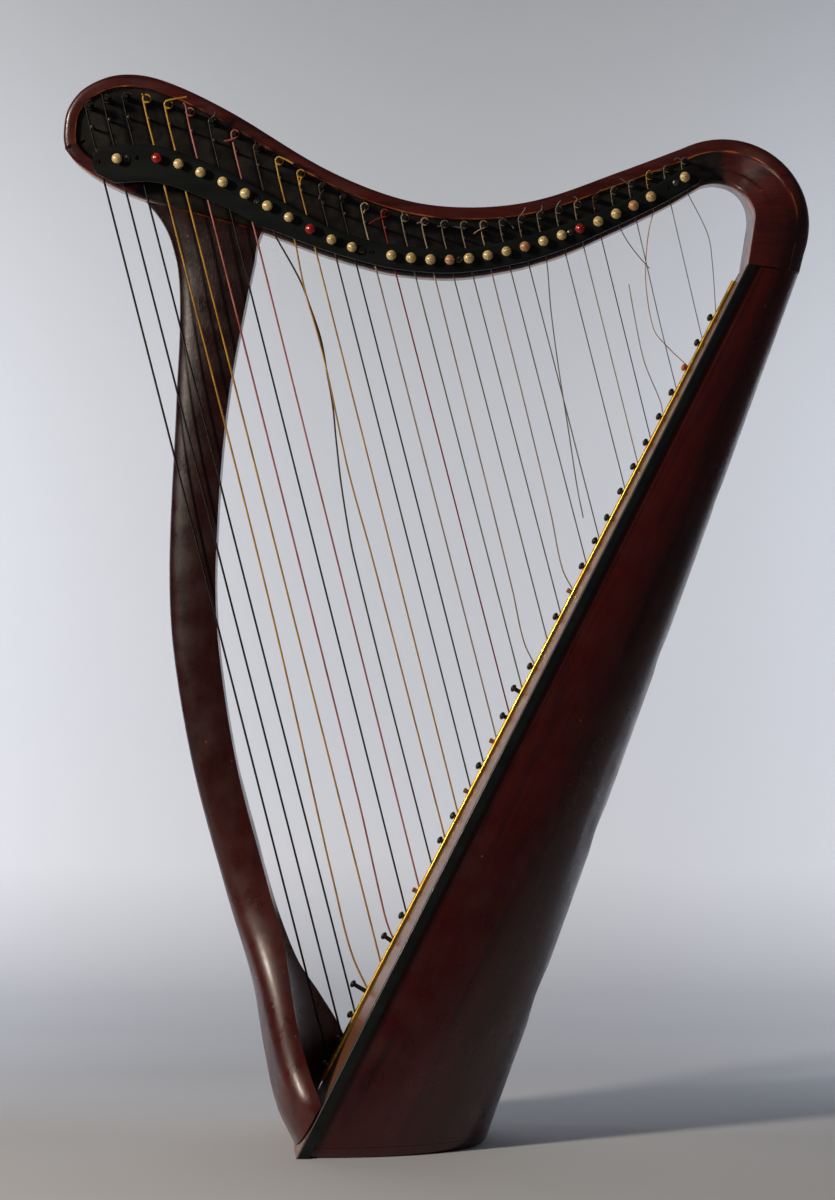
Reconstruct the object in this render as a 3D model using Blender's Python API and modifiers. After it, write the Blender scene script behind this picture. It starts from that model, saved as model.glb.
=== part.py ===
"""A small folk harp: round-backed soundbox, shoulder, curved neck, bowed pillar, strings and pitch stops."""
from bisect import bisect_right
from math import atan2, cos, pi, radians, sin

import bmesh
import bpy
from mathutils import Matrix, Vector

# --- driving dimensions, in metres; +X runs from the pillar to the soundbox, -Y is the side with the strings
GAP = 0.0003                 # between pieces that touch
WELD = 0.00002               # points nearer than this are one
CUT_WELD = 0.0001            # the same on a piece with many holes through it

SEAM_HEIGHT = 0.808          # floor to the joint under the shoulder, at the soundboard
SEAM_DROP = 0.006            # the same joint is this much lower at the back
BOARD_FOOT_X = -0.0855       # soundboard edge at the floor
BOARD_TOP_X = 0.3262         # soundboard edge at the joint
BACK_FOOT_X = 0.086          # back of the box at the floor
BACK_TOP_X = 0.3765          # back of the box at the joint
BOX_HALF_WIDTH_FOOT = 0.117
BOX_HALF_WIDTH_TOP = 0.0425
BOX_ROUNDNESS = 2.4          # 2 is an ellipse, more is squarer
SHELL_WALL = 0.004
BOARD_THICKNESS = 0.0035
CROWN_FOOT = 0.005           # how far the middle of the soundboard stands above its edges
CROWN_TOP = 0.0001
BASE_BOARD_HEIGHT = 0.009
BASE_EDGE_RADIUS = 0.004
BLOCK_HEIGHT_FOOT = 0.030
BLOCK_HEIGHT_TOP = 0.045
BINDING_THICKNESS = 0.0024
BINDING_DEPTH_FOOT = 0.0100
BINDING_DEPTH_TOP = 0.0064
BINDING_PROUD = 0.0004       # the binding stands over the edge of the soundboard by this much
BINDING_EDGE_SHARE = 0.3     # share of its thickness that its outer corner is rounded off by
RIB_DEPTH = 0.010
RIB_THICKNESS = 0.006
RIB_PLACES = (0.26, 0.46, 0.65)      # shares of the box height
HOLE_PLACES = (0.17, 0.36, 0.56, 0.74)
HOLE_RADIUS_FOOT = 0.032
HOLE_RADIUS_TOP = 0.018

STRIP_WIDTH = 0.0070
STRIP_HEIGHT = 0.0042
STRIP_BELOW_FIRST_PEG = 0.014
STRIP_BEYOND_LAST_PEG = 0.040
STRING_FOOT_DEPTH = 0.001    # a string ends this far over the soundboard, inside the strip
BAR_WIDTH = 0.020
BAR_THICKNESS = 0.006
BAR_END_CLEARANCE = 0.004

STRINGS = 31
FIRST_PEG_HEIGHT = 0.0648
PEG_SPACING = 0.0260         # along the soundboard
FIRST_STRING_X = -0.267      # where the longest string passes the lower edge of the neck
STRING_STEP = 0.0204         # the strings close up by STRING_CLOSING as they get shorter
STRING_CLOSING = 0.00008
LONGEST_STRING_RADIUS = 0.0010
SHORTEST_STRING_RADIUS = 0.0004
STRING_STANDOFF = 0.016      # string plane to the middle of the harp, at the neck

NECK_FACE_Y = -0.006
NECK_THICKNESS = 0.034
NECK_EDGE_RADIUS = 0.007
PANEL_DEPTH = 0.004
PANEL_RIM = 0.012
PILLAR_FACE_Y = -0.0045
PILLAR_THICKNESS = 0.031
PILLAR_ROUNDNESS = 0.8       # 1 is an ellipse, less is squarer
TENON_LENGTH = 0.024
TENON_WIDTH = 0.030
TENON_THICKNESS = 0.012

SHOULDER_CENTRE = (0.3062, 0.8460)
SHOULDER_RADIUS = 0.0823
THROAT_CENTRE = (0.2987, 0.8525)
THROAT_RADIUS = 0.034
SHOULDER_START = 112         # degrees round those centres, at the joint with the neck
SHOULDER_LIP = 0.003         # the shoulder stands proud of the box by this much

PIN_RADIUS = 0.0026
PIN_STANDOUT = 0.022
PIN_GRIP = 0.012             # how far a tuning pin goes into the neck
PIN_CLEARANCE = 0.0006       # between a tuning pin and the thickest string's side
PIN_OFFSET = PIN_RADIUS + LONGEST_STRING_RADIUS + PIN_CLEARANCE
NUT_PIN_RADIUS = 0.0012
NUT_PIN_GRIP = 0.004         # how far a nut pin goes into the neck
NUT_PIN_BEYOND_STRING = 0.0018
NUT_DROP_LONGEST = 0.020     # from tuning pin to nut pin, along the string
NUT_DROP_SHORTEST = 0.008
PEG_RADIUS = 0.0021
PEG_GRIP = 0.0035            # how far a peg goes into the soundboard
PEG_STANDOUT = 0.0085
PEG_HEAD_RADIUS = 0.0036
PEG_HEAD_HEIGHT = 0.003
MISSING_PEGS = (9, 18)
HEADLESS_PEGS = (5,)
HOLE_CLEARANCE = 0.0004      # round pegs, pins and dowels in their holes

PLATE_FACE_Y = -0.0200       # the face of the stop plate that looks at the strings
PLATE_THICKNESS = 0.0024
PLATE_ABOVE_FIRST_STOP = 0.0125
PLATE_ABOVE_LAST_STOP = 0.0090
PLATE_ABOVE_EDGE = 0.003
PLATE_END_RADIUS = 0.006
PLATE_DEPTH_UNDER_STOPS = 0.022
PLATE_PAST_FIRST_STRING = 0.004
PLATE_PAST_LAST_STRING = 0.006
PLATE_POSTS = 6
POST_RADIUS = 0.0024
SCREW_RADIUS = 0.0014
SCREW_HEAD_RADIUS = 0.0030
SCREW_HEAD_HEIGHT = 0.0016
SCREW_GRIP = 0.012

STOP_SPINDLE_RADIUS = 0.0018
STOP_DISC_RADIUS = 0.0052
STOP_DISC_THICKNESS = 0.0012
STOP_KNOB_RADIUS = 0.0045
STOP_KNOB_LENGTH = 0.0085
STOP_CLEARANCE = 0.00035
PRONG_RADIUS = 0.0010
PRONG_REACH = 0.0040         # from the stop's axis to each prong
PRONG_ABOVE_STRING = 0.0006  # the prongs end this far short of the level of the string's surface
MISSING_STOPS = (1, 3, 14, 30)
RED_STOPS = (4, 11, 25)

BROKEN_STRINGS = (23, 27)
BREAK_BELOW_STOP = 0.0075
STUB_BESIDE_PEG = 0.0015     # clear of the head of the peg
STUB_OVER_STRIP = 0.001
DOWEL_RADIUS = 0.005
DOWEL_LENGTH = 0.050
NECK_DOWEL_LENGTH = 0.030
FOOT_SCREW_RADIUS = 0.0021
FOOT_SCREW_HEIGHT = 0.024
FOOT_SCREW_SPREAD = 0.55     # share of the half width of the box
FOOT_SCREW_IN_BLOCK = 0.028
FOOT_SCREW_IN_PILLAR = 0.016

# smooth curves, as (x, z) points from the pillar side to the shoulder side
PIN_ROW = ((-0.300, 0.950), (-0.265, 0.964), (-0.229, 0.963), (-0.170, 0.942), (-0.107, 0.905), (-0.045, 0.870),
           (0.005, 0.854), (0.060, 0.847), (0.119, 0.853), (0.182, 0.871), (0.231, 0.891), (0.275, 0.910))
STOP_ROW = ((-0.290, 0.902), (-0.255, 0.907), (-0.215, 0.907), (-0.160, 0.887), (-0.107, 0.859), (-0.048, 0.829),
            (0.005, 0.817), (0.060, 0.814), (0.119, 0.825), (0.182, 0.846), (0.231, 0.868), (0.275, 0.893))
NECK_TOP = ((-0.306, 0.932), (-0.302, 0.956), (-0.286, 0.976), (-0.255, 0.988), (-0.217, 0.984), (-0.155, 0.956),
            (-0.061, 0.900), (0.011, 0.872), (0.072, 0.865), (0.135, 0.872), (0.211, 0.898))
NECK_EDGE = ((-0.122, 0.842), (-0.071, 0.823), (-0.031, 0.8105), (0.004, 0.8025), (0.056, 0.799), (0.110, 0.8065),
             (0.155, 0.8195), (0.191, 0.835), (0.254, 0.8655))
NECK_CHIN = ((-0.231, 0.872), (-0.268, 0.888), (-0.293, 0.905))
# the pillar, as (z, value) points from the floor up
PILLAR_FRONT = ((0.0, -0.0905), (0.035, -0.1075), (0.090, -0.1205), (0.147, -0.131), (0.230, -0.156),
                (0.342, -0.186), (0.454, -0.205), (0.537, -0.2085), (0.677, -0.2025), (0.788, -0.1990),
                (0.840, -0.2085), (0.872, -0.231))
PILLAR_BACK = ((0.0, -0.050), (0.054, -0.066), (0.071, -0.073), (0.114, -0.087), (0.186, -0.101), (0.230, -0.1142),
               (0.342, -0.144), (0.454, -0.1615), (0.537, -0.1643), (0.677, -0.154), (0.788, -0.134),
               (0.842, -0.122))
PILLAR_FAR_BACK = ((0.0, -0.036), (0.060, -0.043), (0.085, -0.049), (0.125, -0.070), (0.157, -0.089),
                   (0.198, -0.1045), (0.230, -0.1142), (0.342, -0.144))
PILLAR_HOLLOW = ((0.0, -0.060), (0.030, -0.066), (0.050, -0.082), (0.070, -0.089), (0.100, -0.0955),
                 (0.150, -0.106), (0.200, -0.1145), (0.230, -0.1145), (0.342, -0.144))
PILLAR_NEAR_SIDE = ((0.0, -0.113), (0.045, -0.113), (0.071, -0.100), (0.114, -0.066), (0.157, -0.038),
                    (0.200, -0.019), (0.250, -0.0070), (0.300, PILLAR_FACE_Y), (0.400, PILLAR_FACE_Y))
PILLAR_FAR_SIDE = ((0.0, 0.113), (0.045, 0.113), (0.085, 0.104), (0.125, 0.078), (0.157, 0.057), (0.200, 0.037),
                   (0.250, 0.0285), (0.300, PILLAR_FACE_Y + PILLAR_THICKNESS),
                   (0.400, PILLAR_FACE_Y + PILLAR_THICKNESS))
PILLAR_STATIONS = (0.0, 0.012, 0.025, 0.037, 0.050, 0.060, 0.070, 0.085, 0.100, 0.114, 0.128, 0.142, 0.157, 0.175,
                   0.195, 0.215, 0.235, 0.265, 0.300, 0.342, 0.400, 0.454, 0.537, 0.610, 0.677, 0.740, 0.788, 0.815)

# what is left of the broken strings: string, what still holds it, and (x, y, z) points to the free end
LOOSE_STRINGS = {
    "loose_string_long": (23, "neck", (
        (0.1432, -0.0160, 0.8075), (0.1465, -0.0158, 0.7675), (0.1540, -0.0152, 0.7115),
        (0.1625, -0.0145, 0.6585), (0.1709, -0.0138, 0.6040), (0.1765, -0.0130, 0.5760))),
    "loose_string_short": (27, "neck", ((0.2110, -0.0160, 0.8430), (0.2165, -0.0158, 0.8330),
                                        (0.2260, -0.0155, 0.8200), (0.2377, -0.0150, 0.8068))),
    "loose_string_stub": (27, "peg", ((0.2490, -0.0012, 0.6840), (0.2337, -0.0040, 0.7212),
                                      (0.2248, -0.0060, 0.7612), (0.2190, -0.0080, 0.7930))),
}

MAHOGANY = (0.115, 0.014, 0.010)
SPRUCE = (0.240, 0.130, 0.075)
EBONISED = (0.008, 0.013, 0.010)
PALE_WOOD = (0.480, 0.330, 0.190)
BRASS = (0.620, 0.430, 0.150)
STEEL = (0.330, 0.320, 0.300)
IVORY = (0.800, 0.700, 0.460)
RED_ENAMEL = (0.480, 0.030, 0.025)

for old in list(bpy.data.objects):
    bpy.data.objects.remove(old, do_unlink=True)
harp = bpy.data.collections.new("harp")
cutters = bpy.data.collections.new("cutters")
bpy.context.scene.collection.children.link(harp)
bpy.context.scene.collection.children.link(cutters)


# --- tools
def smooth(points, place):
    """Value at a place on the smooth curve through (place, value) points."""
    places = [point[0] for point in points]
    values = [point[1] for point in points]
    slopes = []
    for index in range(len(points)):
        before = max(index - 1, 0)
        after = min(index + 1, len(points) - 1)
        slopes.append((values[after] - values[before]) / (places[after] - places[before]))
    left = min(max(bisect_right(places, place) - 1, 0), len(points) - 2)
    span = places[left + 1] - places[left]
    t = min(max((place - places[left]) / span, 0.0), 1.0)
    start = (1 + 2 * t) * (1 - t) ** 2 * values[left] + t * (1 - t) ** 2 * span * slopes[left]
    end = t * t * (3 - 2 * t) * values[left + 1] + t * t * (t - 1) * span * slopes[left + 1]
    return start + end


def blend(start, end, share):
    return start + (end - start) * share


def add_object(name, data, colour, roughness=0.4, metallic=0.0):
    """Put a finished sub-part in the harp's collection with a material of its own."""
    piece = bpy.data.objects.new(name, data)
    harp.objects.link(piece)
    material = bpy.data.materials.new(name + "_finish")
    material.use_nodes = True
    shader = material.node_tree.nodes["Principled BSDF"]
    shader.inputs["Base Color"].default_value = (*colour, 1.0)
    shader.inputs["Roughness"].default_value = roughness
    shader.inputs["Metallic"].default_value = metallic
    material.diffuse_color = (*colour, 1.0)
    data.materials.append(material)
    return piece


def add_cutter(name, data):
    """Put a shape that only cuts or joins in the collection of cutters."""
    cutter = bpy.data.objects.new(name, data)
    cutters.objects.link(cutter)
    cutter.hide_render = True
    cutter.display_type = 'WIRE'
    return cutter


def boolean(piece, tool, operation='DIFFERENCE'):
    step = piece.modifiers.new(tool.name, 'BOOLEAN')
    step.operation = operation
    step.object = tool


def tidy_cuts(piece):
    """Merge the points that cuts leave almost on top of each other."""
    step = piece.modifiers.new("weld", 'WELD')
    step.merge_threshold = CUT_WELD


def loft(name, rings):
    """Closed skin over rings of equally many points, with a flat cap at each end."""
    shape = bmesh.new()
    rows = [[shape.verts.new(point) for point in ring] for ring in rings]
    for low, high in zip(rows, rows[1:]):
        for index in range(len(low)):
            following = (index + 1) % len(low)
            shape.faces.new((low[index], low[following], high[following], high[index]))
    shape.faces.new(list(reversed(rows[0])))
    shape.faces.new(rows[-1])
    bmesh.ops.recalc_face_normals(shape, faces=shape.faces)
    mesh = bpy.data.meshes.new(name)
    shape.to_mesh(mesh)
    shape.free()
    return mesh


def rods(name, ends, radius, sides=6):
    """One mesh of straight round rods, each from a start point to an end point."""
    shape = bmesh.new()
    for start, end in ends:
        way = Vector(end) - Vector(start)
        turn = way.to_track_quat('Z', 'Y').to_matrix().to_4x4()
        middle = Matrix.Translation((Vector(start) + Vector(end)) / 2)
        bmesh.ops.create_cone(shape, cap_ends=True, segments=sides, radius1=radius, radius2=radius,
                              depth=way.length, matrix=middle @ turn)
    mesh = bpy.data.meshes.new(name)
    shape.to_mesh(mesh)
    shape.free()
    return mesh


def box(name, size, middle, turn=Matrix.Identity(4)):
    shape = bmesh.new()
    place = Matrix.Translation(middle) @ turn @ Matrix.Diagonal((*size, 1.0))
    bmesh.ops.create_cube(shape, size=1.0, matrix=place)
    mesh = bpy.data.meshes.new(name)
    shape.to_mesh(mesh)
    shape.free()
    return mesh


def turned(name, profile):
    """Mesh profile of (radius, height) points, top last, to be turned about Z by a Screw modifier."""
    mesh = bpy.data.meshes.new(name)
    points = [(radius, 0.0, height) for radius, height in reversed(profile)]
    mesh.from_pydata(points, [(index, index + 1) for index in range(len(points) - 1)], [])
    return mesh


def turn_on_lathe(piece, steps):
    lathe = piece.modifiers.new("lathe", 'SCREW')
    lathe.steps = steps
    lathe.render_steps = steps
    lathe.use_merge_vertices = True
    lathe.merge_threshold = WELD


def flat_shape(name, points, thickness, edge_radius=0.0, corners=()):
    """Flat outline in the XZ plane, (x, z) points, thickened evenly along Y; corners stay sharp."""
    curve = bpy.data.curves.new(name, 'CURVE')
    curve.dimensions = '2D'
    curve.fill_mode = 'BOTH'
    curve.extrude = thickness / 2 - edge_radius
    curve.bevel_depth = edge_radius
    curve.offset = -edge_radius
    curve.bevel_resolution = 1
    curve.resolution_u = 2
    curve.render_resolution_u = 0
    spline = curve.splines.new('BEZIER')
    spline.bezier_points.add(len(points) - 1)
    spline.use_cyclic_u = True
    for index, (knot, point) in enumerate(zip(spline.bezier_points, points)):
        knot.co = (point[0], point[1], 0.0)
        kind = 'VECTOR' if index in corners else 'AUTO'
        knot.handle_left_type = kind
        knot.handle_right_type = kind
    return mesh_of_curve(name, curve)


def drawn_mesh(name, curve):
    drawn = bpy.data.objects.new(name, curve)
    bpy.context.scene.collection.objects.link(drawn)
    graph = bpy.context.evaluated_depsgraph_get()
    mesh = bpy.data.meshes.new_from_object(drawn.evaluated_get(graph))
    bpy.data.objects.remove(drawn, do_unlink=True)
    return mesh


def mesh_of_curve(name, curve):
    """Closed mesh of a flat curve, turned up from the XY plane into the XZ plane."""
    mesh = drawn_mesh(name, curve)
    shape = bmesh.new()
    shape.from_mesh(mesh)
    bmesh.ops.remove_doubles(shape, verts=shape.verts, dist=WELD)
    bmesh.ops.rotate(shape, verts=shape.verts, cent=(0, 0, 0), matrix=Matrix.Rotation(pi / 2, 3, 'X'))
    bmesh.ops.recalc_face_normals(shape, faces=shape.faces)
    shape.to_mesh(mesh)
    shape.free()
    return mesh


def shift_y(mesh, distance):
    mesh.transform(Matrix.Translation((0, distance, 0)))
    return mesh


# --- the soundbox: sections from the floor, share 0, to the joint under the shoulder, share 1
def box_ends(share):
    """Board edge and back of the box in one section, as points in the middle plane."""
    height = SEAM_HEIGHT * share
    edge = Vector((blend(BOARD_FOOT_X, BOARD_TOP_X, share), 0, height))
    back = Vector((blend(BACK_FOOT_X, BACK_TOP_X, share), 0, height - SEAM_DROP * share))
    return edge, back


def half_width(share):
    return blend(BOX_HALF_WIDTH_FOOT, BOX_HALF_WIDTH_TOP, share)


def crown(share):
    return blend(CROWN_FOOT, CROWN_TOP, share)


BOARD_LINE = (box_ends(1)[0] - box_ends(0)[0]).normalized()
BOARD_NORMAL = Vector((-BOARD_LINE.z, 0, BOARD_LINE.x))
SLANT = 1 / BOARD_LINE.z     # a thickness measured level is this much more than measured square


def box_arc(share, inset, count=18, front=0.0):
    """Half-round outline of a section, from the near edge round the back to the far edge."""
    edge, back = box_ends(share)
    way = (back - edge).normalized()
    start = edge + way * front
    depth = (back - start).length - inset
    width = half_width(share) - inset
    points = []
    for index in range(count + 1):
        angle = pi * (index / count - 0.5)
        out = abs(cos(angle)) ** (2 / BOX_ROUNDNESS) * depth
        side = (1 if angle > 0 else -1) * abs(sin(angle)) ** (2 / BOX_ROUNDNESS) * width
        points.append(start + way * out + Vector((0, side, 0)))
    return points


def shares(start, end, count):
    return [blend(start, end, index / count) for index in range(count + 1)]


UNDER_BOARD = (BOARD_THICKNESS + GAP) * SLANT
FIRST_SHARE = (BASE_BOARD_HEIGHT + GAP) / SEAM_HEIGHT
LAST_SHARE = 1 - GAP / SEAM_HEIGHT


def make_shell():
    rings = []
    for share in shares(FIRST_SHARE, LAST_SHARE, 8):
        outer = box_arc(share, 0.0, front=UNDER_BOARD)
        inner = box_arc(share, SHELL_WALL, front=UNDER_BOARD)
        rings.append(outer + list(reversed(inner)))
    shell = add_object("soundbox_shell", loft("soundbox_shell", rings), MAHOGANY, 0.25)
    for index, share in enumerate(HOLE_PLACES):
        edge, back = box_ends(share)
        radius = blend(HOLE_RADIUS_FOOT, HOLE_RADIUS_TOP, index / (len(HOLE_PLACES) - 1))
        way = (back - edge).normalized()
        reach = way * SHELL_WALL * 5
        ends = [(back - reach, back + reach)]
        boolean(shell, add_cutter(f"sound_hole_{index + 1}", rods("sound_hole", ends, radius, 20)))


def solid_section(share, inset, front):
    """Closed D-shaped section: the half-round, closed by the line behind the soundboard."""
    arc = box_arc(share, inset, front=front)
    return arc + [arc[-1].lerp(arc[0], step / 4) for step in (1, 2, 3)]


def make_base_board():
    """The bottom of the box: the same D as the shell, with a rounded lower edge."""
    rings = []
    for step in range(4):
        angle = pi / 2 * step / 3
        inset = BASE_EDGE_RADIUS * (1 - sin(angle))
        height = BASE_EDGE_RADIUS * (1 - cos(angle))
        rings.append(solid_section(height / SEAM_HEIGHT, inset, UNDER_BOARD))
    rings.append(solid_section(BASE_BOARD_HEIGHT / SEAM_HEIGHT, 0.0, UNDER_BOARD))
    add_object("base_board", loft("base_board", rings), MAHOGANY, 0.3)


def board_ring(share, below, above, width):
    """Section of a crowned board: from `below` under its edge line to `above` over its crowned face."""
    edge, back = box_ends(share)
    way = (back - edge).normalized() * SLANT
    top = []
    bottom = []
    for index in range(9):
        across = index / 4 - 1
        rise = crown(share) * (1 - across * across)
        side = Vector((0, across * width, 0))
        top.append(edge - way * (rise + above) + side)
        bottom.append(edge + way * (below - rise) + side)
    return top + list(reversed(bottom))


def make_soundboard(holes):
    rings = [board_ring(share, BOARD_THICKNESS, 0.0, half_width(share)) for share in shares(0.0, LAST_SHARE, 8)]
    board = add_object("soundboard", loft("soundboard", rings), SPRUCE, 0.35)
    boolean(board, holes)


def board_space():
    """What the soundboard fills, with a gap over it: no other piece enters here."""
    rings = [board_ring(share, 0.060, GAP, BOX_HALF_WIDTH_FOOT * 1.2) for share in (-0.05, 0.1, 0.3, 0.5, 0.7)]
    return add_cutter("board_space", loft("board_space", rings))


def make_binding(name, side):
    """Edge strip that covers the joint of soundboard and shell along one side."""
    rings = []
    for share in shares(0.0, LAST_SHARE, 8):
        edge, back = box_ends(share)
        way = (back - edge).normalized() * SLANT
        inner = half_width(share) + GAP
        outer = inner + BINDING_THICKNESS
        low = way * blend(BINDING_DEPTH_FOOT, BINDING_DEPTH_TOP, share)
        high = -way * BINDING_PROUD
        round_off = BINDING_THICKNESS * BINDING_EDGE_SHARE
        corners = ((inner, low), (outer, low), (outer, high + way * round_off), (outer - round_off, high),
                   (inner, high))
        rings.append([edge + rise + Vector((0, side * out, 0)) for out, rise in corners])
    add_object(name, loft(name, rings), EBONISED, 0.3)


def make_blocks(holes):
    inset = SHELL_WALL + GAP
    front = UNDER_BOARD
    top_start = 1 - BLOCK_HEIGHT_TOP / SEAM_HEIGHT
    rings = [solid_section(share, inset, front) for share in (top_start, LAST_SHARE)]
    block = add_object("top_block", loft("top_block", rings), PALE_WOOD, 0.7)
    boolean(block, holes)
    bottom_end = FIRST_SHARE + BLOCK_HEIGHT_FOOT / SEAM_HEIGHT
    rings = [solid_section(share, inset, front) for share in (FIRST_SHARE, bottom_end)]
    return add_object("bottom_block", loft("bottom_block", rings), PALE_WOOD, 0.7)


def make_ribs():
    """Half-round hoops glued inside the shell."""
    for name, share in zip(("lower_rib", "middle_rib", "upper_rib"), RIB_PLACES):
        rings = []
        for place in (share, share + RIB_THICKNESS / SEAM_HEIGHT):
            outer = box_arc(place, SHELL_WALL + GAP, front=UNDER_BOARD)
            inner = box_arc(place, SHELL_WALL + GAP + RIB_DEPTH, front=UNDER_BOARD)
            rings.append(outer + list(reversed(inner)))
        add_object(name, loft(name, rings), PALE_WOOD, 0.7)


# --- places on the string line
def board_middle(share):
    """Top of the crowned soundboard, in the middle plane."""
    edge, back = box_ends(share)
    return edge - (back - edge).normalized() * SLANT * crown(share)


def peg_place(number):
    """Where a string meets the soundboard; string 1 is the longest."""
    share = (FIRST_PEG_HEIGHT + (number - 1) * PEG_SPACING * BOARD_LINE.z) / SEAM_HEIGHT
    return board_middle(share)


def neck_edge(place):
    """Lower edge of the neck, also where the pillar meets it."""
    return smooth(tuple(reversed(NECK_CHIN)) + NECK_EDGE + ((0.286, 0.884),), place)


def neck_crossing(number):
    step = number - 1
    place = FIRST_STRING_X + STRING_STEP * step - STRING_CLOSING * step * step
    return Vector((place, 0, neck_edge(place)))


def on_string(number, row):
    """Where a string's line crosses a row of fittings on the neck."""
    start = peg_place(number)
    way = neck_crossing(number) - start
    low = 0.9
    high = 1.5
    for _ in range(40):
        middle = (low + high) / 2
        point = start + way * middle
        if point.z < smooth(row, point.x):
            low = middle
        else:
            high = middle
    return start + way * low


def string_direction(number):
    return (neck_crossing(number) - peg_place(number)).normalized()


def string_radius(number):
    return blend(LONGEST_STRING_RADIUS, SHORTEST_STRING_RADIUS, (number - 1) / (STRINGS - 1))


def pin_place(number):
    return on_string(number, PIN_ROW) + Vector((PIN_OFFSET, 0, 0))


def nut_place(number):
    drop = blend(NUT_DROP_LONGEST, NUT_DROP_SHORTEST, (number - 1) / (STRINGS - 1))
    return on_string(number, PIN_ROW) - string_direction(number) * drop


NUMBERS = range(1, STRINGS + 1)
PANEL_Y = NECK_FACE_Y + PANEL_DEPTH


# --- neck, shoulder and pillar
def shoulder_ends(angle):
    """Throat point and outer point of the shoulder at an angle round its bend."""
    way = Vector((cos(radians(angle)), 0, sin(radians(angle))))
    inner = Vector((THROAT_CENTRE[0], 0, THROAT_CENTRE[1])) + way * THROAT_RADIUS
    outer = Vector((SHOULDER_CENTRE[0], 0, SHOULDER_CENTRE[1])) + way * SHOULDER_RADIUS
    return inner, outer


def neck_outline():
    inner, outer = shoulder_ends(SHOULDER_START)
    start = outer - Vector((GAP, 0, 0))
    end = inner - Vector((GAP, 0, 0))
    lower = [(end.x, end.z)] + list(reversed(NECK_EDGE)) + list(NECK_CHIN)
    return list(NECK_TOP) + [(start.x, start.z)] + lower


def make_neck(hollows):
    outline = neck_outline()
    joint = len(NECK_TOP)
    seat = joint + 1 + len(NECK_EDGE)
    corners = (joint, joint + 1, seat, seat + 1)
    mesh = flat_shape("neck", outline, NECK_THICKNESS, NECK_EDGE_RADIUS, corners)
    neck = add_object("neck", shift_y(mesh, NECK_FACE_Y + NECK_THICKNESS / 2), MAHOGANY, 0.25)
    for tool in hollows:
        boolean(neck, tool)


def panel_recess():
    """The sunk panel that carries the tuning pins, kept inside the raised rim."""
    top = [(place, smooth(NECK_TOP[3:] + ((0.275, 0.9223),), place) - PANEL_RIM)
           for place in (-0.245, -0.217, -0.155, -0.100, -0.040, 0.030, 0.100, 0.170, 0.225, 0.262)]
    bottom = [(place, neck_edge(place) - 0.020) for place in (0.268, 0.210, 0.140, 0.060, -0.020, -0.090, -0.130)]
    chin = [(-0.231, 0.882), (-0.268, 0.900), (-0.288, 0.920), (-0.2925, 0.938), (-0.285, 0.957), (-0.268, 0.972)]
    mesh = flat_shape("panel_recess", top + bottom + chin, 2 * PANEL_DEPTH)
    return add_cutter("panel_recess", shift_y(mesh, NECK_FACE_Y))


def make_shoulder(holes):
    """Loft from the flat section of the neck to the half-round section of the box."""
    rings = []
    neck_middle = NECK_FACE_Y + NECK_THICKNESS / 2
    edge, back = box_ends(1)
    turns = list(range(SHOULDER_START, -1, -14)) + [-10]
    count = len(turns) + 2
    for index in range(count):
        share = index / (count - 1)
        if index < len(turns):
            inner, outer = shoulder_ends(turns[index])
        else:
            inner = edge.lerp(shoulder_ends(-10)[0], 0.5 if index == count - 2 else 0.0)
            outer_angle = -20 if index == count - 2 else -30
            outer = shoulder_ends(outer_angle)[1]
        if index == count - 1:
            inner = edge + Vector((0, 0, GAP))
            outer = back + (back - edge).normalized() * SHOULDER_LIP + Vector((0, 0, GAP))
        spread = share * share * (3 - 2 * share)
        width = blend(NECK_THICKNESS / 2, BOX_HALF_WIDTH_TOP + SHOULDER_LIP, spread)
        middle = blend(neck_middle, 0.0, spread)
        rings.append(shoulder_ring(inner, outer, width, middle, spread))
    shoulder = add_object("shoulder", loft("shoulder", rings), MAHOGANY, 0.25)
    boolean(shoulder, holes)


def shoulder_ring(inner, outer, width, middle, spread):
    """Section that changes from a rounded bar, spread 0, to the D of the box, spread 1."""
    points = []
    count = 20
    for index in range(count + 1):
        share = index / count
        angle = pi * (share - 0.5)
        d_out = abs(cos(angle)) ** (2 / BOX_ROUNDNESS)
        d_side = (1 if angle > 0 else -1) * abs(sin(angle)) ** (2 / BOX_ROUNDNESS)
        angle = 1.5 * pi * (share - 0.5)
        bar_out = 0.5 + 0.5 * (1 if cos(angle) > 0 else -1) * abs(cos(angle)) ** 0.5
        bar_side = (1 if angle > 0 else -1) * abs(sin(angle)) ** 0.5
        out = blend(bar_out, d_out, spread)
        side = blend(bar_side, d_side, spread)
        points.append(inner.lerp(outer, out) + Vector((0, middle + side * width, 0)))
    return points


def pillar_ring(height):
    """Section of the pillar: rounded front, and a hollowed back between its two edges."""
    front = smooth(PILLAR_FRONT, height)
    near = Vector((smooth(PILLAR_BACK, height), smooth(PILLAR_NEAR_SIDE, height), 0))
    far = Vector((near.x, smooth(PILLAR_FAR_SIDE, height), 0))
    hollow = near.x
    if height < PILLAR_FAR_BACK[-1][0]:
        far.x = smooth(PILLAR_FAR_BACK, height)
        hollow = smooth(PILLAR_HOLLOW, height)
    middle = (near.y + far.y) / 2
    half = (far.y - near.y) / 2
    return front, near, far, hollow, middle, half


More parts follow.
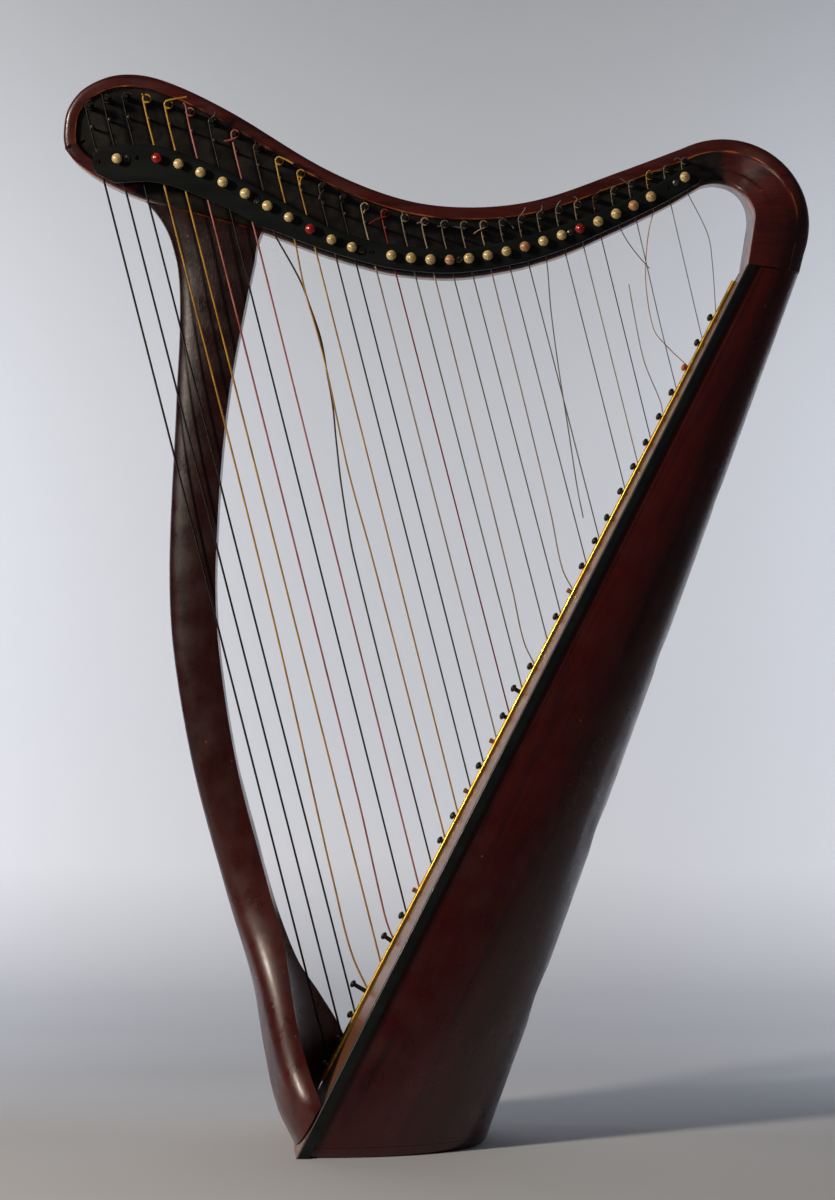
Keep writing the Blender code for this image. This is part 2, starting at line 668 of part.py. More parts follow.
def make_pillar(space, screw_holes):
    rings = []
    seat_left = Vector((NECK_CHIN[0][0], 0, NECK_CHIN[0][1] - GAP))
    seat_right = Vector((NECK_EDGE[0][0], 0, NECK_EDGE[0][1] - GAP))
    for height in PILLAR_STATIONS + (None,):
        if height is None:
            front, near, far, hollow, middle, half = pillar_ring(PILLAR_STATIONS[-1])
            front = seat_left.x
            near.x = seat_right.x
            far.x = near.x
            hollow = near.x
        else:
            front, near, far, hollow, middle, half = pillar_ring(height)
        ring = []
        for index in range(15):
            angle = pi * (index / 14 - 0.5)
            side = (1 if angle > 0 else -1) * abs(sin(angle)) ** PILLAR_ROUNDNESS
            edge = blend(near.x, far.x, (side + 1) / 2)
            out = abs(cos(angle)) ** PILLAR_ROUNDNESS
            ring.append(Vector((edge + (front - edge) * out, middle + half * side, height or 0)))
        for index in range(1, 12):
            across = 1 - index / 6
            edge = blend(near.x, far.x, (across + 1) / 2)
            depth = hollow - (near.x + far.x) / 2
            ring.append(Vector((edge + depth * (1 - across * across), middle + half * across, height or 0)))
        if height is None:
            for point in ring:
                share = (point.x - seat_left.x) / (seat_right.x - seat_left.x)
                point.z = blend(seat_left.z, seat_right.z, share)
        rings.append(ring)
    pillar = add_object("pillar", loft("pillar", rings), MAHOGANY, 0.25)
    boolean(pillar, space)
    boolean(pillar, tenon("pillar_tenon", 0.0), 'UNION')
    boolean(pillar, screw_holes)


def tenon(name, clearance):
    """Tongue on top of the pillar, square to the seat; with a clearance it cuts the mortise."""
    left = Vector((NECK_CHIN[0][0], 0, NECK_CHIN[0][1]))
    right = Vector((NECK_EDGE[0][0], 0, NECK_EDGE[0][1]))
    slope = atan2(left.z - right.z, right.x - left.x)
    turn = Matrix.Rotation(slope, 4, 'Y')
    length = 2 * (TENON_LENGTH + clearance)
    middle = left.lerp(right, 0.55) + Vector((0, NECK_FACE_Y + NECK_THICKNESS * 0.55, 0))
    size = (TENON_WIDTH + 2 * clearance, TENON_THICKNESS + 2 * clearance, length)
    return add_cutter(name, box(name, size, middle, turn))


# --- strings, pins, pegs and brass strip
def make_strings():
    """Brass strip, pegs, strings and tuning pins: each string is knotted at one end and wound at the other."""
    first = peg_place(1) - BOARD_LINE * STRIP_BELOW_FIRST_PEG
    last = peg_place(STRINGS) + BOARD_LINE * STRIP_BEYOND_LAST_PEG
    rings = []
    for point in (first, last):
        low = point + BOARD_NORMAL * GAP
        half = STRIP_WIDTH / 2
        corners = ((-half, 0), (half, 0), (half, STRIP_HEIGHT * 0.5), (half * 0.5, STRIP_HEIGHT),
                   (-half * 0.5, STRIP_HEIGHT), (-half, STRIP_HEIGHT * 0.5))
        rings.append([low + BOARD_NORMAL * rise + Vector((0, side, 0)) for side, rise in corners])
    strip = add_object("string_set", loft("string_set", rings), BRASS, 0.25, 1.0)
    group = bpy.data.collections.new("string_pieces")
    cutters.children.link(group)
    for number in NUMBERS:
        pieces = peg_pieces(number)
        held = [string_run(number), nut_pin(number)]
        name = f"tuning_pin_{number}"
        mesh = rods(name, [tuning_pin_ends(pin_place(number))], PIN_RADIUS)
        if number in BROKEN_STRINGS:
            pin = add_object(name, mesh, STEEL, 0.3, 1.0)
            for tool in held:
                boolean(pin, tool, 'UNION')
        else:
            pieces += held + [add_cutter(name, mesh)]
        for tool in pieces:
            cutters.objects.unlink(tool)
            group.objects.link(tool)
    union = strip.modifiers.new("strings", 'BOOLEAN')
    union.operation = 'UNION'
    union.operand_type = 'COLLECTION'
    union.collection = group


def string_run(number):
    """A string from its peg, or from where it broke, over the nut pin to its tuning pin."""
    nut = nut_place(number) + Vector((0, -STRING_STANDOFF, 0))
    wound = pin_place(number) + Vector((-PIN_RADIUS, -STRING_STANDOFF, 0))
    foot = peg_place(number) + BOARD_NORMAL * STRING_FOOT_DEPTH
    if number in BROKEN_STRINGS:
        foot = broken_end(number, GAP)
    name = f"string_{number}"
    return add_cutter(name, wire(name, (foot, nut, wound), string_radius(number)))


def nut_pin(number):
    """Thin pin that the string bends over, below its tuning pin."""
    start, end = nut_pin_ends(number)
    return add_cutter(f"nut_pin_{number}", rods("nut_pin", [(start, end)], NUT_PIN_RADIUS))


def nut_pin_ends(number):
    beside = nut_place(number) + Vector((NUT_PIN_RADIUS, 0, 0))
    front = STRING_STANDOFF + NUT_PIN_BEYOND_STRING
    return beside + Vector((0, PANEL_Y + NUT_PIN_GRIP, 0)), beside - Vector((0, front, 0))


def peg_pieces(number):
    """Peg through the brass strip, with its head."""
    if number in MISSING_PEGS:
        return []
    peg = peg_place(number)
    pieces = [add_cutter(f"peg_{number}", rods("peg", [peg_ends(peg)], PEG_RADIUS))]
    if number not in HEADLESS_PEGS:
        head = [(peg + BOARD_NORMAL * (PEG_STANDOUT - PEG_HEAD_HEIGHT), peg + BOARD_NORMAL * PEG_STANDOUT)]
        pieces.append(add_cutter(f"peg_head_{number}", rods("peg_head", head, PEG_HEAD_RADIUS)))
    return pieces


def tuning_pin_ends(pin):
    return pin + Vector((0, PANEL_Y + PIN_GRIP, 0)), pin + Vector((0, PANEL_Y - PIN_STANDOUT, 0))


def peg_ends(peg):
    return peg - BOARD_NORMAL * PEG_GRIP, peg + BOARD_NORMAL * PEG_STANDOUT


def wire_curve(name, points, radius, roundness):
    """Round wire through the points, as a curve."""
    curve = bpy.data.curves.new(name, 'CURVE')
    curve.dimensions = '3D'
    curve.bevel_depth = radius
    curve.bevel_resolution = roundness
    curve.use_fill_caps = True
    spline = curve.splines.new('POLY')
    spline.points.add(len(points) - 1)
    for knot, point in zip(spline.points, points):
        knot.co = (*point, 1.0)
    return curve


def wire(name, points, radius):
    """Closed mesh of a wire along straight runs."""
    mesh = drawn_mesh(name, wire_curve(name, points, radius, 1))
    shape = bmesh.new()
    shape.from_mesh(mesh)
    bmesh.ops.remove_doubles(shape, verts=shape.verts, dist=WELD)
    bmesh.ops.recalc_face_normals(shape, faces=shape.faces)
    shape.to_mesh(mesh)
    shape.free()
    return mesh


def broken_end(number, gap):
    """Where a broken string comes out below its stop, still held by the nut pin."""
    way = string_direction(number)
    return stop_place(number) - way * (BREAK_BELOW_STOP - gap) + Vector((0, -STRING_STANDOFF, 0))


def stub_start(number):
    """Where a string that still has its peg comes up beside the brass strip."""
    beside = BOARD_LINE * (PEG_HEAD_RADIUS + STUB_BESIDE_PEG)
    return peg_place(number) + beside + BOARD_NORMAL * (STRIP_HEIGHT + STUB_OVER_STRIP)


def make_loose_strings():
    """Free ends of the broken strings, each a tube along a smooth curve through its route."""
    for name, (number, held_by, points) in LOOSE_STRINGS.items():
        held = broken_end(number, 0.0) if held_by == "neck" else stub_start(number)
        route = (tuple(held),) + points
        along = [0.0]
        for start, end in zip(route, route[1:]):
            along.append(along[-1] + (Vector(end) - Vector(start)).length)
        path = [[smooth(tuple(zip(along, values)), place) for values in zip(*route)]
                for place in shares(0.0, along[-1], 4 * (len(route) - 1))]
        add_object(name, wire_curve(name, path, string_radius(number), 2), PALE_WOOD, 0.5)


def make_inner_bar(holes):
    """Hardwood bar under the soundboard that takes the pull of the pegs."""
    start = (BLOCK_HEIGHT_FOOT + BASE_BOARD_HEIGHT + BAR_END_CLEARANCE) / SEAM_HEIGHT
    end = 1 - (BLOCK_HEIGHT_TOP + BAR_END_CLEARANCE) / SEAM_HEIGHT
    rings = []
    for share in (start, end):
        edge, back = box_ends(share)
        way = (back - edge).normalized() * SLANT
        top = board_middle(share) + way * (BOARD_THICKNESS + GAP + crown(share) * (BAR_WIDTH / 0.2) ** 2)
        half = BAR_WIDTH / 2
        rings.append([top + way * low + Vector((0, side, 0))
                      for side, low in ((-half, 0), (half, 0), (half, BAR_THICKNESS), (-half, BAR_THICKNESS))])
    bar = add_object("inner_string_bar", loft("inner_string_bar", rings), PALE_WOOD, 0.6)
    boolean(bar, holes)


# --- stops
def stop_place(number):
    return on_string(number, STOP_ROW)


def make_stop(number):
    """Turned knob, spindle and disc, with two prongs that stand either side of the string."""
    colour = RED_ENAMEL if number in RED_STOPS else IVORY
    disc = -PLATE_FACE_Y - GAP
    face = -PLATE_FACE_Y + PLATE_THICKNESS + GAP
    knob = STOP_KNOB_RADIUS
    tip = face + STOP_KNOB_LENGTH
    profile = ((0.0, disc - STOP_DISC_THICKNESS), (STOP_DISC_RADIUS, disc - STOP_DISC_THICKNESS),
               (STOP_DISC_RADIUS, disc), (STOP_SPINDLE_RADIUS, disc), (STOP_SPINDLE_RADIUS, face),
               (knob * 0.62, face), (knob * 0.62, face + STOP_KNOB_LENGTH * 0.2),
               (knob, face + STOP_KNOB_LENGTH * 0.5),
               (knob * 0.75, face + STOP_KNOB_LENGTH * 0.85), (0.0, tip))
    name = f"stop_{number:02d}"
    stop = add_object(name, turned(name, profile), colour, 0.3)
    stop.location = stop_place(number)
    way = string_direction(number)
    stop.rotation_euler = (pi / 2, -atan2(way.x, way.z), 0)
    turn_on_lathe(stop, 8)
    prong_end = STRING_STANDOFF - string_radius(number) - PRONG_ABOVE_STRING
    prong_root = disc - STOP_DISC_THICKNESS / 2
    ends = [((side * PRONG_REACH, 0, prong_end), (side * PRONG_REACH, 0, prong_root)) for side in (-1, 1)]
    prongs = add_cutter(name + "_prongs", rods("prongs", ends, PRONG_RADIUS, 6))
    prongs.parent = stop
    boolean(stop, prongs, 'UNION')


def post_places():
    """Posts of the stop plate, each midway between two strings and level with the stops."""
    places = []
    for index in range(PLATE_POSTS):
        number = round(blend(2, STRINGS - 1.5, index / (PLATE_POSTS - 1)))
        first = on_string(number, STOP_ROW)
        second = on_string(number + 1, STOP_ROW)
        places.append((first + second) / 2)
    return places


def make_plate(spindle_holes, screw_holes):
    start = neck_crossing(1).x - PLATE_PAST_FIRST_STRING
    end = neck_crossing(STRINGS).x + PLATE_PAST_LAST_STRING
    places = [blend(start, end, index / 11) for index in range(12)]
    top = [(place, smooth(STOP_ROW, place) + blend(PLATE_ABOVE_FIRST_STOP, PLATE_ABOVE_LAST_STOP, index / 11))
           for index, place in enumerate(places)]
    bottom = []
    for place in reversed(places):
        lowest = smooth(STOP_ROW, place) - PLATE_DEPTH_UNDER_STOPS
        bottom.append((place, max(neck_edge(place) + PLATE_ABOVE_EDGE, lowest)))
    ends = [(end + PLATE_END_RADIUS, (top[-1][1] + bottom[0][1]) / 2)]
    starts = [(start - PLATE_END_RADIUS, (top[0][1] + bottom[-1][1]) / 2)]
    mesh = flat_shape("stop_plate", top + ends + bottom + starts, PLATE_THICKNESS)
    plate = add_object("stop_plate", shift_y(mesh, PLATE_FACE_Y - PLATE_THICKNESS / 2), EBONISED, 0.25)
    for index, place in enumerate(post_places()):
        foot = place + Vector((0, PANEL_Y - GAP, 0))
        head = place + Vector((0, PLATE_FACE_Y - PLATE_THICKNESS / 3, 0))
        post = add_cutter(f"plate_post_{index + 1}", rods("post", [(foot, head)], POST_RADIUS, 10))
        boolean(plate, post, 'UNION')
    boolean(plate, spindle_holes)
    boolean(plate, screw_holes)
    tidy_cuts(plate)


def make_plate_screws():
    face = PLATE_FACE_Y - PLATE_THICKNESS
    for index, place in enumerate(post_places()):
        name = f"plate_screw_{index + 1}"
        grip = PANEL_Y + SCREW_GRIP
        under = -face + GAP
        profile = ((0.0, -grip), (SCREW_RADIUS, -grip), (SCREW_RADIUS, under), (SCREW_HEAD_RADIUS, under),
                   (SCREW_HEAD_RADIUS * 0.8, under + SCREW_HEAD_HEIGHT * 0.6), (0.0, under + SCREW_HEAD_HEIGHT))
        screw = add_object(name, turned(name, profile), STEEL, 0.3, 1.0)
        screw.location = place
        screw.rotation_euler = (pi / 2, 0, 0)
        turn_on_lathe(screw, 8)


# --- hidden fasteners
def dowel_lines():
    """Dowels: one from the shoulder into the top block, two from the neck into the shoulder."""
    edge, back = box_ends(1)
    middle = edge.lerp(back, 0.5)
    axis = Vector((0, 0, 1))
    lines = {"shoulder_dowel": (middle - axis * DOWEL_LENGTH / 2, middle + axis * DOWEL_LENGTH / 2)}
    inner, outer = shoulder_ends(SHOULDER_START)
    across = Vector((-(outer - inner).normalized().z, 0, (outer - inner).normalized().x))
    for name, share in (("neck_dowel_lower", 0.32), ("neck_dowel_upper", 0.68)):
        place = inner.lerp(outer, share) + Vector((0, NECK_FACE_Y + NECK_THICKNESS * 0.75, 0))
        lines[name] = (place - across * NECK_DOWEL_LENGTH / 2, place + across * NECK_DOWEL_LENGTH / 2)
    return lines


def foot_screw_lines():
    """Screws from the bottom block through the soundboard into the foot of the pillar."""
    lines = {}
    for name, side in (("foot_screw_near", -1), ("foot_screw_far", 1)):
        edge, back = box_ends(FOOT_SCREW_HEIGHT / SEAM_HEIGHT)
        place = edge + Vector((0, side * BOX_HALF_WIDTH_FOOT * FOOT_SCREW_SPREAD, 0))
        head = place + Vector((FOOT_SCREW_IN_BLOCK, 0, 0))
        lines[name] = (head, place - Vector((FOOT_SCREW_IN_PILLAR, 0, 0)))
    return lines


def holes_for(name, lines, radius, clearance, sides=10):
    """Cutter for the holes that a set of round pieces sits in, a little longer than the pieces."""
    ends = []
    for start, end in lines:
        way = (end - start).normalized() * clearance
        ends.append((start - way, end + way))
    return add_cutter(name, rods(name, ends, radius + clearance, sides))


def make_harp():
    dowels = dowel_lines()
    foot_screws = foot_screw_lines()
    dowel_holes = holes_for("dowel_holes", dowels.values(), DOWEL_RADIUS, HOLE_CLEARANCE)
    foot_holes = holes_for("foot_screw_holes", foot_screws.values(), FOOT_SCREW_RADIUS, HOLE_CLEARANCE)
    peg_holes = holes_for("peg_holes", [peg_ends(peg_place(number)) for number in NUMBERS],
                          PEG_RADIUS, HOLE_CLEARANCE, 6)
    pin_holes = holes_for("pin_holes", [tuning_pin_ends(pin_place(number)) for number in NUMBERS],
                          PIN_RADIUS, HOLE_CLEARANCE, 6)
    nut_holes = holes_for("nut_pin_holes", [nut_pin_ends(number) for number in NUMBERS],
                          NUT_PIN_RADIUS, HOLE_CLEARANCE, 6)
    behind = Vector((0, PLATE_FACE_Y + PLATE_THICKNESS, 0))
    before = Vector((0, PLATE_FACE_Y - 2 * PLATE_THICKNESS, 0))
    spindle_ends = [(stop_place(number) + behind, stop_place(number) + before) for number in NUMBERS]
    spindle_holes = holes_for("spindle_holes", spindle_ends, STOP_SPINDLE_RADIUS, STOP_CLEARANCE, 8)
    tip = Vector((0, PANEL_Y + SCREW_GRIP, 0))
    plate_screw_ends = [(place + tip, place + before) for place in post_places()]
    screw_holes = holes_for("plate_screw_holes", plate_screw_ends, SCREW_RADIUS, STOP_CLEARANCE, 8)

    make_shell()
    make_base_board()
    make_soundboard(peg_holes)
    boolean(bpy.data.objects["soundboard"], foot_holes)
    make_binding("binding_near", -1)
    make_binding("binding_far", 1)
    boolean(make_blocks(dowel_holes), foot_holes)
    make_ribs()
    make_inner_bar(peg_holes)
    make_shoulder(dowel_holes)
    make_neck((panel_recess(), pin_holes, nut_holes, tenon("neck_mortise", GAP), dowel_holes, screw_holes))
    make_pillar(board_space(), foot_holes)
    make_plate(spindle_holes, screw_holes)
    make_plate_screws()
    make_strings()
    make_loose_strings()
    for number in NUMBERS:
        if number not in MISSING_STOPS:
            make_stop(number)
    for name, line in dowels.items():
        add_object(name, rods(name, [line], DOWEL_RADIUS, 10), PALE_WOOD, 0.7)
    for name, line in foot_screws.items():
        add_object(name, rods(name, [line], FOOT_SCREW_RADIUS, 10), STEEL, 0.4, 1.0)


make_harp()
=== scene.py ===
import math

import bmesh
import bpy
import numpy as np
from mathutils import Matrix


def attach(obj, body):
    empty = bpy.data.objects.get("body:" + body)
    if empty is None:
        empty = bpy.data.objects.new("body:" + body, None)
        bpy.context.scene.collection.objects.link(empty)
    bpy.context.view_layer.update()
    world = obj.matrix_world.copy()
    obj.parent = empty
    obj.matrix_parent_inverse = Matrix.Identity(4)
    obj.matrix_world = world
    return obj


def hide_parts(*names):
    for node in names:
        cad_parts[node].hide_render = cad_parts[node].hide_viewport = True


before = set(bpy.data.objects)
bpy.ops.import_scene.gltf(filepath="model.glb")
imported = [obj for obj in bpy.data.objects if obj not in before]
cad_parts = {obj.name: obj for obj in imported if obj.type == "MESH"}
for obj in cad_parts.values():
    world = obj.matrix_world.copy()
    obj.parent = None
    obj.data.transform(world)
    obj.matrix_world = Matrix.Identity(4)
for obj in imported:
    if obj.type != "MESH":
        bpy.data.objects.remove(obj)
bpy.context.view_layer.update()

rng = np.random.default_rng(31)
tau = 2 * math.pi

# camera, level, half way up the harp
view = {"place": (0.023, -3.10, 0.5), "lens": 100.0, "sensor": 36.0}
camera = bpy.data.objects.new("camera", bpy.data.cameras.new("camera"))
camera.data.lens = view["lens"]
camera.data.sensor_width = view["sensor"]
camera.location = view["place"]
camera.rotation_euler = (math.pi / 2, 0, 0)
bpy.context.scene.collection.objects.link(camera)
bpy.context.scene.camera = camera


# value at a place on the curve through (place, value) knots: cubic pieces, the slope at a knot is
# that of the line through its two neighbours
def smoothAt(knots, at):
    places, values = np.array(knots, float).T
    index = np.arange(len(places))
    before = np.maximum(index - 1, 0)
    after = np.minimum(index + 1, len(places) - 1)
    slopes = (values[after] - values[before]) / (places[after] - places[before])
    at = np.clip(at, places[0], places[-1])
    left = np.clip(np.searchsorted(places, at, side="right") - 1, 0, len(places) - 2)
    span = places[left + 1] - places[left]
    t = (at - places[left]) / span
    start = (1 + 2 * t) * (1 - t) ** 2 * values[left] + t * (1 - t) ** 2 * span * slopes[left]
    end = t * t * (3 - 2 * t) * values[left + 1] + t * t * (t - 1) * span * slopes[left + 1]
    return start + end


# points evenly spaced by length along the smooth curve through knots of any dimension
def smoothPath(knots, count):
    knots = np.array(knots, float)
    along = np.concatenate([[0], np.cumsum(np.linalg.norm(np.diff(knots, axis=0), axis=1))])
    fine = np.linspace(0, along[-1], 40 * len(knots))
    dense = np.stack([smoothAt(np.stack([along, axis], 1), fine) for axis in knots.T], 1)
    length = np.concatenate([[0], np.cumsum(np.linalg.norm(np.diff(dense, axis=0), axis=1))])
    even = np.linspace(0, length[-1], count)
    return np.stack([np.interp(even, length, axis) for axis in dense.T], 1)


def mix(start, end, share):
    return start + (end - start) * share


def ease(share):
    share = np.clip(share, 0, 1)
    return share * share * (3 - 2 * share)


def unit(vectors):
    return vectors / np.maximum(np.linalg.norm(vectors, axis=-1, keepdims=True), 1e-12)


def xz(x, z, y=0.0):
    x, z, y = np.broadcast_arrays(x, z, y)
    return np.stack([x, y, z], -1).astype(float)


# the soundbox is drawn by its share of height, 0 at the floor and 1 at the joint under the shoulder
soundbox = {
    "seamHeight": 0.808, "seamDrop": 0.006, "boardFoot": -0.0855, "boardTop": 0.3262,
    "backFoot": 0.086, "backTop": 0.3765, "halfFoot": 0.117, "halfTop": 0.0425,
    "roundness": 2.4, "wall": 0.004, "board": 0.0035, "crownFoot": 0.005, "crownTop": 0.0001,
    "baseHeight": 0.009, "baseRound": 0.004, "gap": 0.0003, "bindingWidth": 0.0024,
    "bindingFoot": 0.0100, "bindingTop": 0.0064,
    "holeShares": (0.17, 0.36, 0.56, 0.74), "holeFoot": 0.032, "holeTop": 0.018,
}
seamHeight = soundbox["seamHeight"]
gap = soundbox["gap"]


def boardEdge(share):
    return xz(mix(soundbox["boardFoot"], soundbox["boardTop"], share), seamHeight * share)


def boxBack(share):
    x = mix(soundbox["backFoot"], soundbox["backTop"], share)
    return xz(x, (seamHeight - soundbox["seamDrop"]) * share)


def halfWidth(share):
    return mix(soundbox["halfFoot"], soundbox["halfTop"], share)


def crownAt(share):
    return mix(soundbox["crownFoot"], soundbox["crownTop"], share)


boardLine = unit(boardEdge(1.0) - boardEdge(0.0))
boardNormal = np.array([-boardLine[2], 0, boardLine[0]])
slant = 1 / boardLine[2]
underBoard = (soundbox["board"] + gap) * slant


# top of the crowned soundboard in the middle plane
def boardMiddle(share):
    share = np.asarray(share, float)
    back = unit(boxBack(share) - boardEdge(share))
    return boardEdge(share) - back * (slant * crownAt(share))[..., None]


# the strings by number, 1 the longest: where each meets the board, the neck's edge and the rows
strings = {
    "count": 31, "firstPegHeight": 0.0648, "pegSpacing": 0.0260, "firstX": -0.267,
    "step": 0.0204, "closing": 0.00008, "thickest": 0.0010, "thinnest": 0.0004, "standoff": 0.016,
    "pinRow": ((-0.300, 0.950), (-0.265, 0.964), (-0.229, 0.963), (-0.170, 0.942), (-0.107, 0.905),
               (-0.045, 0.870), (0.005, 0.854), (0.060, 0.847), (0.119, 0.853), (0.182, 0.871),
               (0.231, 0.891), (0.275, 0.910)),
    "stopRow": ((-0.290, 0.902), (-0.255, 0.907), (-0.215, 0.907), (-0.160, 0.887), (-0.107, 0.859),
                (-0.048, 0.829), (0.005, 0.817), (0.060, 0.814), (0.119, 0.825), (0.182, 0.846),
                (0.231, 0.868), (0.275, 0.893)),
    "nutDropFirst": 0.020, "nutDropLast": 0.008, "pinOffset": 0.0042,
}
neck = {
    "face": -0.006, "thickness": 0.034, "edgeRound": 0.0055, "panelDepth": 0.004, "rim": 0.012,
    "top": ((-0.306, 0.932), (-0.302, 0.956), (-0.286, 0.976), (-0.255, 0.988), (-0.217, 0.984),
            (-0.155, 0.956), (-0.061, 0.900), (0.011, 0.872), (0.072, 0.865), (0.135, 0.872),
            (0.211, 0.898)),
    "edge": ((-0.122, 0.842), (-0.071, 0.823), (-0.031, 0.8105), (0.004, 0.8025), (0.056, 0.799),
             (0.110, 0.8065), (0.155, 0.8195), (0.191, 0.835), (0.254, 0.8655)),
    "chin": ((-0.293, 0.905), (-0.268, 0.888), (-0.231, 0.872)),
    "bendCentre": (0.3062, 0.8460), "bendRadius": 0.0823, "throatCentre": (0.2987, 0.8525),
    "throatRadius": 0.034, "bendStart": 112.0, "lip": 0.003,
}
panelY = neck["face"] + neck["panelDepth"]
numbers = np.arange(1, strings["count"] + 1)
numberShare = (numbers - 1) / (strings["count"] - 1)
radii = mix(strings["thickest"], strings["thinnest"], numberShare)


def neckEdgeAt(x):
    return smoothAt(neck["chin"] + neck["edge"] + ((0.286, 0.884),), x)


pegHeights = strings["firstPegHeight"] + (numbers - 1) * strings["pegSpacing"] * boardLine[2]
pegs = boardMiddle(pegHeights / seamHeight)
crossingX = strings["firstX"] + strings["step"] * (numbers - 1) - strings["closing"] * (numbers - 1) ** 2
crossings = xz(crossingX, neckEdgeAt(crossingX))
stringWays = unit(crossings - pegs)


# where each string's line crosses a row of fittings: walk up the line until it is over the row
def onStrings(row):
    t = np.linspace(0.9, 1.5, 4001)
    points = pegs[:, None] + (crossings - pegs)[:, None] * t[None, :, None]
    over = points[..., 2] - smoothAt(row, points[..., 0])
    index = np.argmax(over > 0, axis=1)
    every = np.arange(len(points))
    low, high = over[every, index - 1], over[every, index]
    share = (-low / (high - low))[:, None]
    return mix(points[every, index - 1], points[every, index], share)


pinLine = onStrings(strings["pinRow"])
pins = pinLine + np.array([strings["pinOffset"], 0, 0])
nuts = pinLine - stringWays * mix(strings["nutDropFirst"], strings["nutDropLast"], numberShare)[:, None]
stops = onStrings(strings["stopRow"])


# a closed piece from a grid of points (rows along, columns round): quads between neighbours, the
# first and last row closed by quads that zip one side of the ring to the other
def addSurface(name, grid, finish, body="frame", cap=True, joinRows=False, sharp=38.0, values=None,
               replaces=()):
    rows, columns = grid.shape[:2]
    index = np.arange(rows * columns).reshape(rows, columns)
    low = index if joinRows else index[:-1]
    high = np.roll(index, -1, 0) if joinRows else index[1:]
    sides = [np.stack([low, np.roll(low, -1, 1), np.roll(high, -1, 1), high], -1).reshape(-1, 4)]
    if cap and not joinRows:
        j = np.arange(columns // 2 - 1)
        zipped = np.stack([j, columns - 1 - j, columns - 2 - j, j + 1], -1)
        sides += [zipped, (index[-1, 0] + zipped)[:, ::-1]]
    faces = np.vstack(sides)
    points = grid.reshape(-1, 3)
    corners = points[faces]
    normals = np.cross(corners[:, 2] - corners[:, 0], corners[:, 3] - corners[:, 1])
    if (corners.mean(1) * normals).sum() < 0:
        faces = faces[:, ::-1]
    mesh = bpy.data.meshes.new(name)
    mesh.from_pydata(points.tolist(), [], faces.tolist())
    alongRow = np.concatenate([[0], np.cumsum(np.linalg.norm(np.diff(grid.mean(1), axis=0), axis=1))])
    uv = np.stack([np.repeat(alongRow, columns), np.tile(np.arange(columns) / columns, rows)], -1)
    layer = mesh.uv_layers.new(name="along")
    layer.data.foreach_set("uv", uv[faces.ravel()].astype(np.float32).ravel())
    for key, value in (values or {}).items():
        attribute = mesh.attributes.new(key, "FLOAT", "POINT")
        attribute.data.foreach_set("value", np.asarray(value, np.float32).ravel())
    shape = bmesh.new()
    shape.from_mesh(mesh)
    bmesh.ops.remove_doubles(shape, verts=shape.verts, dist=0.000002)
    shape.to_mesh(mesh)
    shape.free()
    return finishPiece(name, mesh, finish, body, sharp, replaces)


def finishPiece(name, mesh, finish, body="frame", sharp=38.0, replaces=()):
    mesh.shade_smooth()
    mesh.set_sharp_from_angle(angle=math.radians(sharp))
    if finish:
        mesh.materials.append(finishes[finish])
    piece = bpy.data.objects.new(name, mesh)
    bpy.context.scene.collection.objects.link(piece)
    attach(piece, body)
    if replaces:
        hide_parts(*replaces)
    return piece


# solid of revolution: (radius, height) profile turned about an axis through a point, one row for
# each profile point and one column for each step round
def turnedGrid(profile, centre, axis, steps=28):
    profile = np.array(profile, float)
    axis = unit(np.array(axis, float))
    side = unit(np.cross(axis, [0.3, 0.1, 1.0] if abs(axis[2]) < 0.9 else [1.0, 0, 0]))
    other = np.cross(axis, side)
    angle = np.arange(steps) / steps * tau
    ring = np.cos(angle)[:, None] * side + np.sin(angle)[:, None] * other
    return np.array(centre) + profile[:, 0, None, None] * ring + (profile[:, 1, None] * axis)[:, None]


def rod(radius, low, high):
    return ((0, low), (radius, low), (radius, high), (0, high))


# round tube: a circle carried along a path, turned so that its first point looks away from +Y
def tubeGrid(path, radius, sides=8):
    tangent = unit(np.gradient(path, axis=0))
    side = unit(np.cross(np.array([0, 1.0, 0]), tangent))
    other = np.cross(tangent, side)
    angle = np.arange(sides) / sides * tau
    circle = np.cos(angle)[None, :, None] * side[:, None] + np.sin(angle)[None, :, None] * other[:, None]
    radius = np.broadcast_to(radius, len(path))
    return path[:, None] + circle * radius[:, None, None]


# cords: what is left of the broken strings, each a tube along its route
looseStrings = {
    "loose_string_long": (23, "neck", (
        (0.1432, -0.0160, 0.8075), (0.1465, -0.0158, 0.7675), (0.1540, -0.0152, 0.7115),
        (0.1625, -0.0145, 0.6585), (0.1709, -0.0138, 0.6040), (0.1765, -0.0130, 0.5760))),
    "loose_string_short": (27, "neck", (
        (0.2110, -0.0160, 0.8430), (0.2165, -0.0158, 0.8330), (0.2260, -0.0155, 0.8200),
        (0.2377, -0.0150, 0.8068))),
    "loose_string_stub": (27, "peg", (
        (0.2490, -0.0012, 0.6840), (0.2337, -0.0040, 0.7212), (0.2248, -0.0060, 0.7612),
        (0.2190, -0.0080, 0.7930))),
}
breakBelowStop = 0.0075
standoffVector = np.array([0, -strings["standoff"], 0])
looseCords = {}
for name, (number, heldBy, points) in looseStrings.items():
    k = number - 1
    if heldBy == "neck":
        held = stops[k] - stringWays[k] * breakBelowStop + standoffVector
    else:
        held = pegs[k] + boardLine * 0.0051 + boardNormal * 0.0052
    path = smoothPath(np.vstack([held, points]), 48)
    piece = addSurface(name + "_visual", tubeGrid(path, radii[k]), None, replaces=[name],
                       sharp=80)
    looseCords[name] = piece
print("cords made:", len(looseCords))


# one function adds a node with its settings and links
def addNode(tree, kind, settings=None, inputs=None):
    node = tree.nodes.new(kind)
    for key, value in (settings or {}).items():
        setattr(node, key, value)
    for key, value in (inputs or {}).items():
        if isinstance(value, bpy.types.NodeSocket):
            tree.links.new(value, node.inputs[key])
        else:
            node.inputs[key].default_value = value
    return node


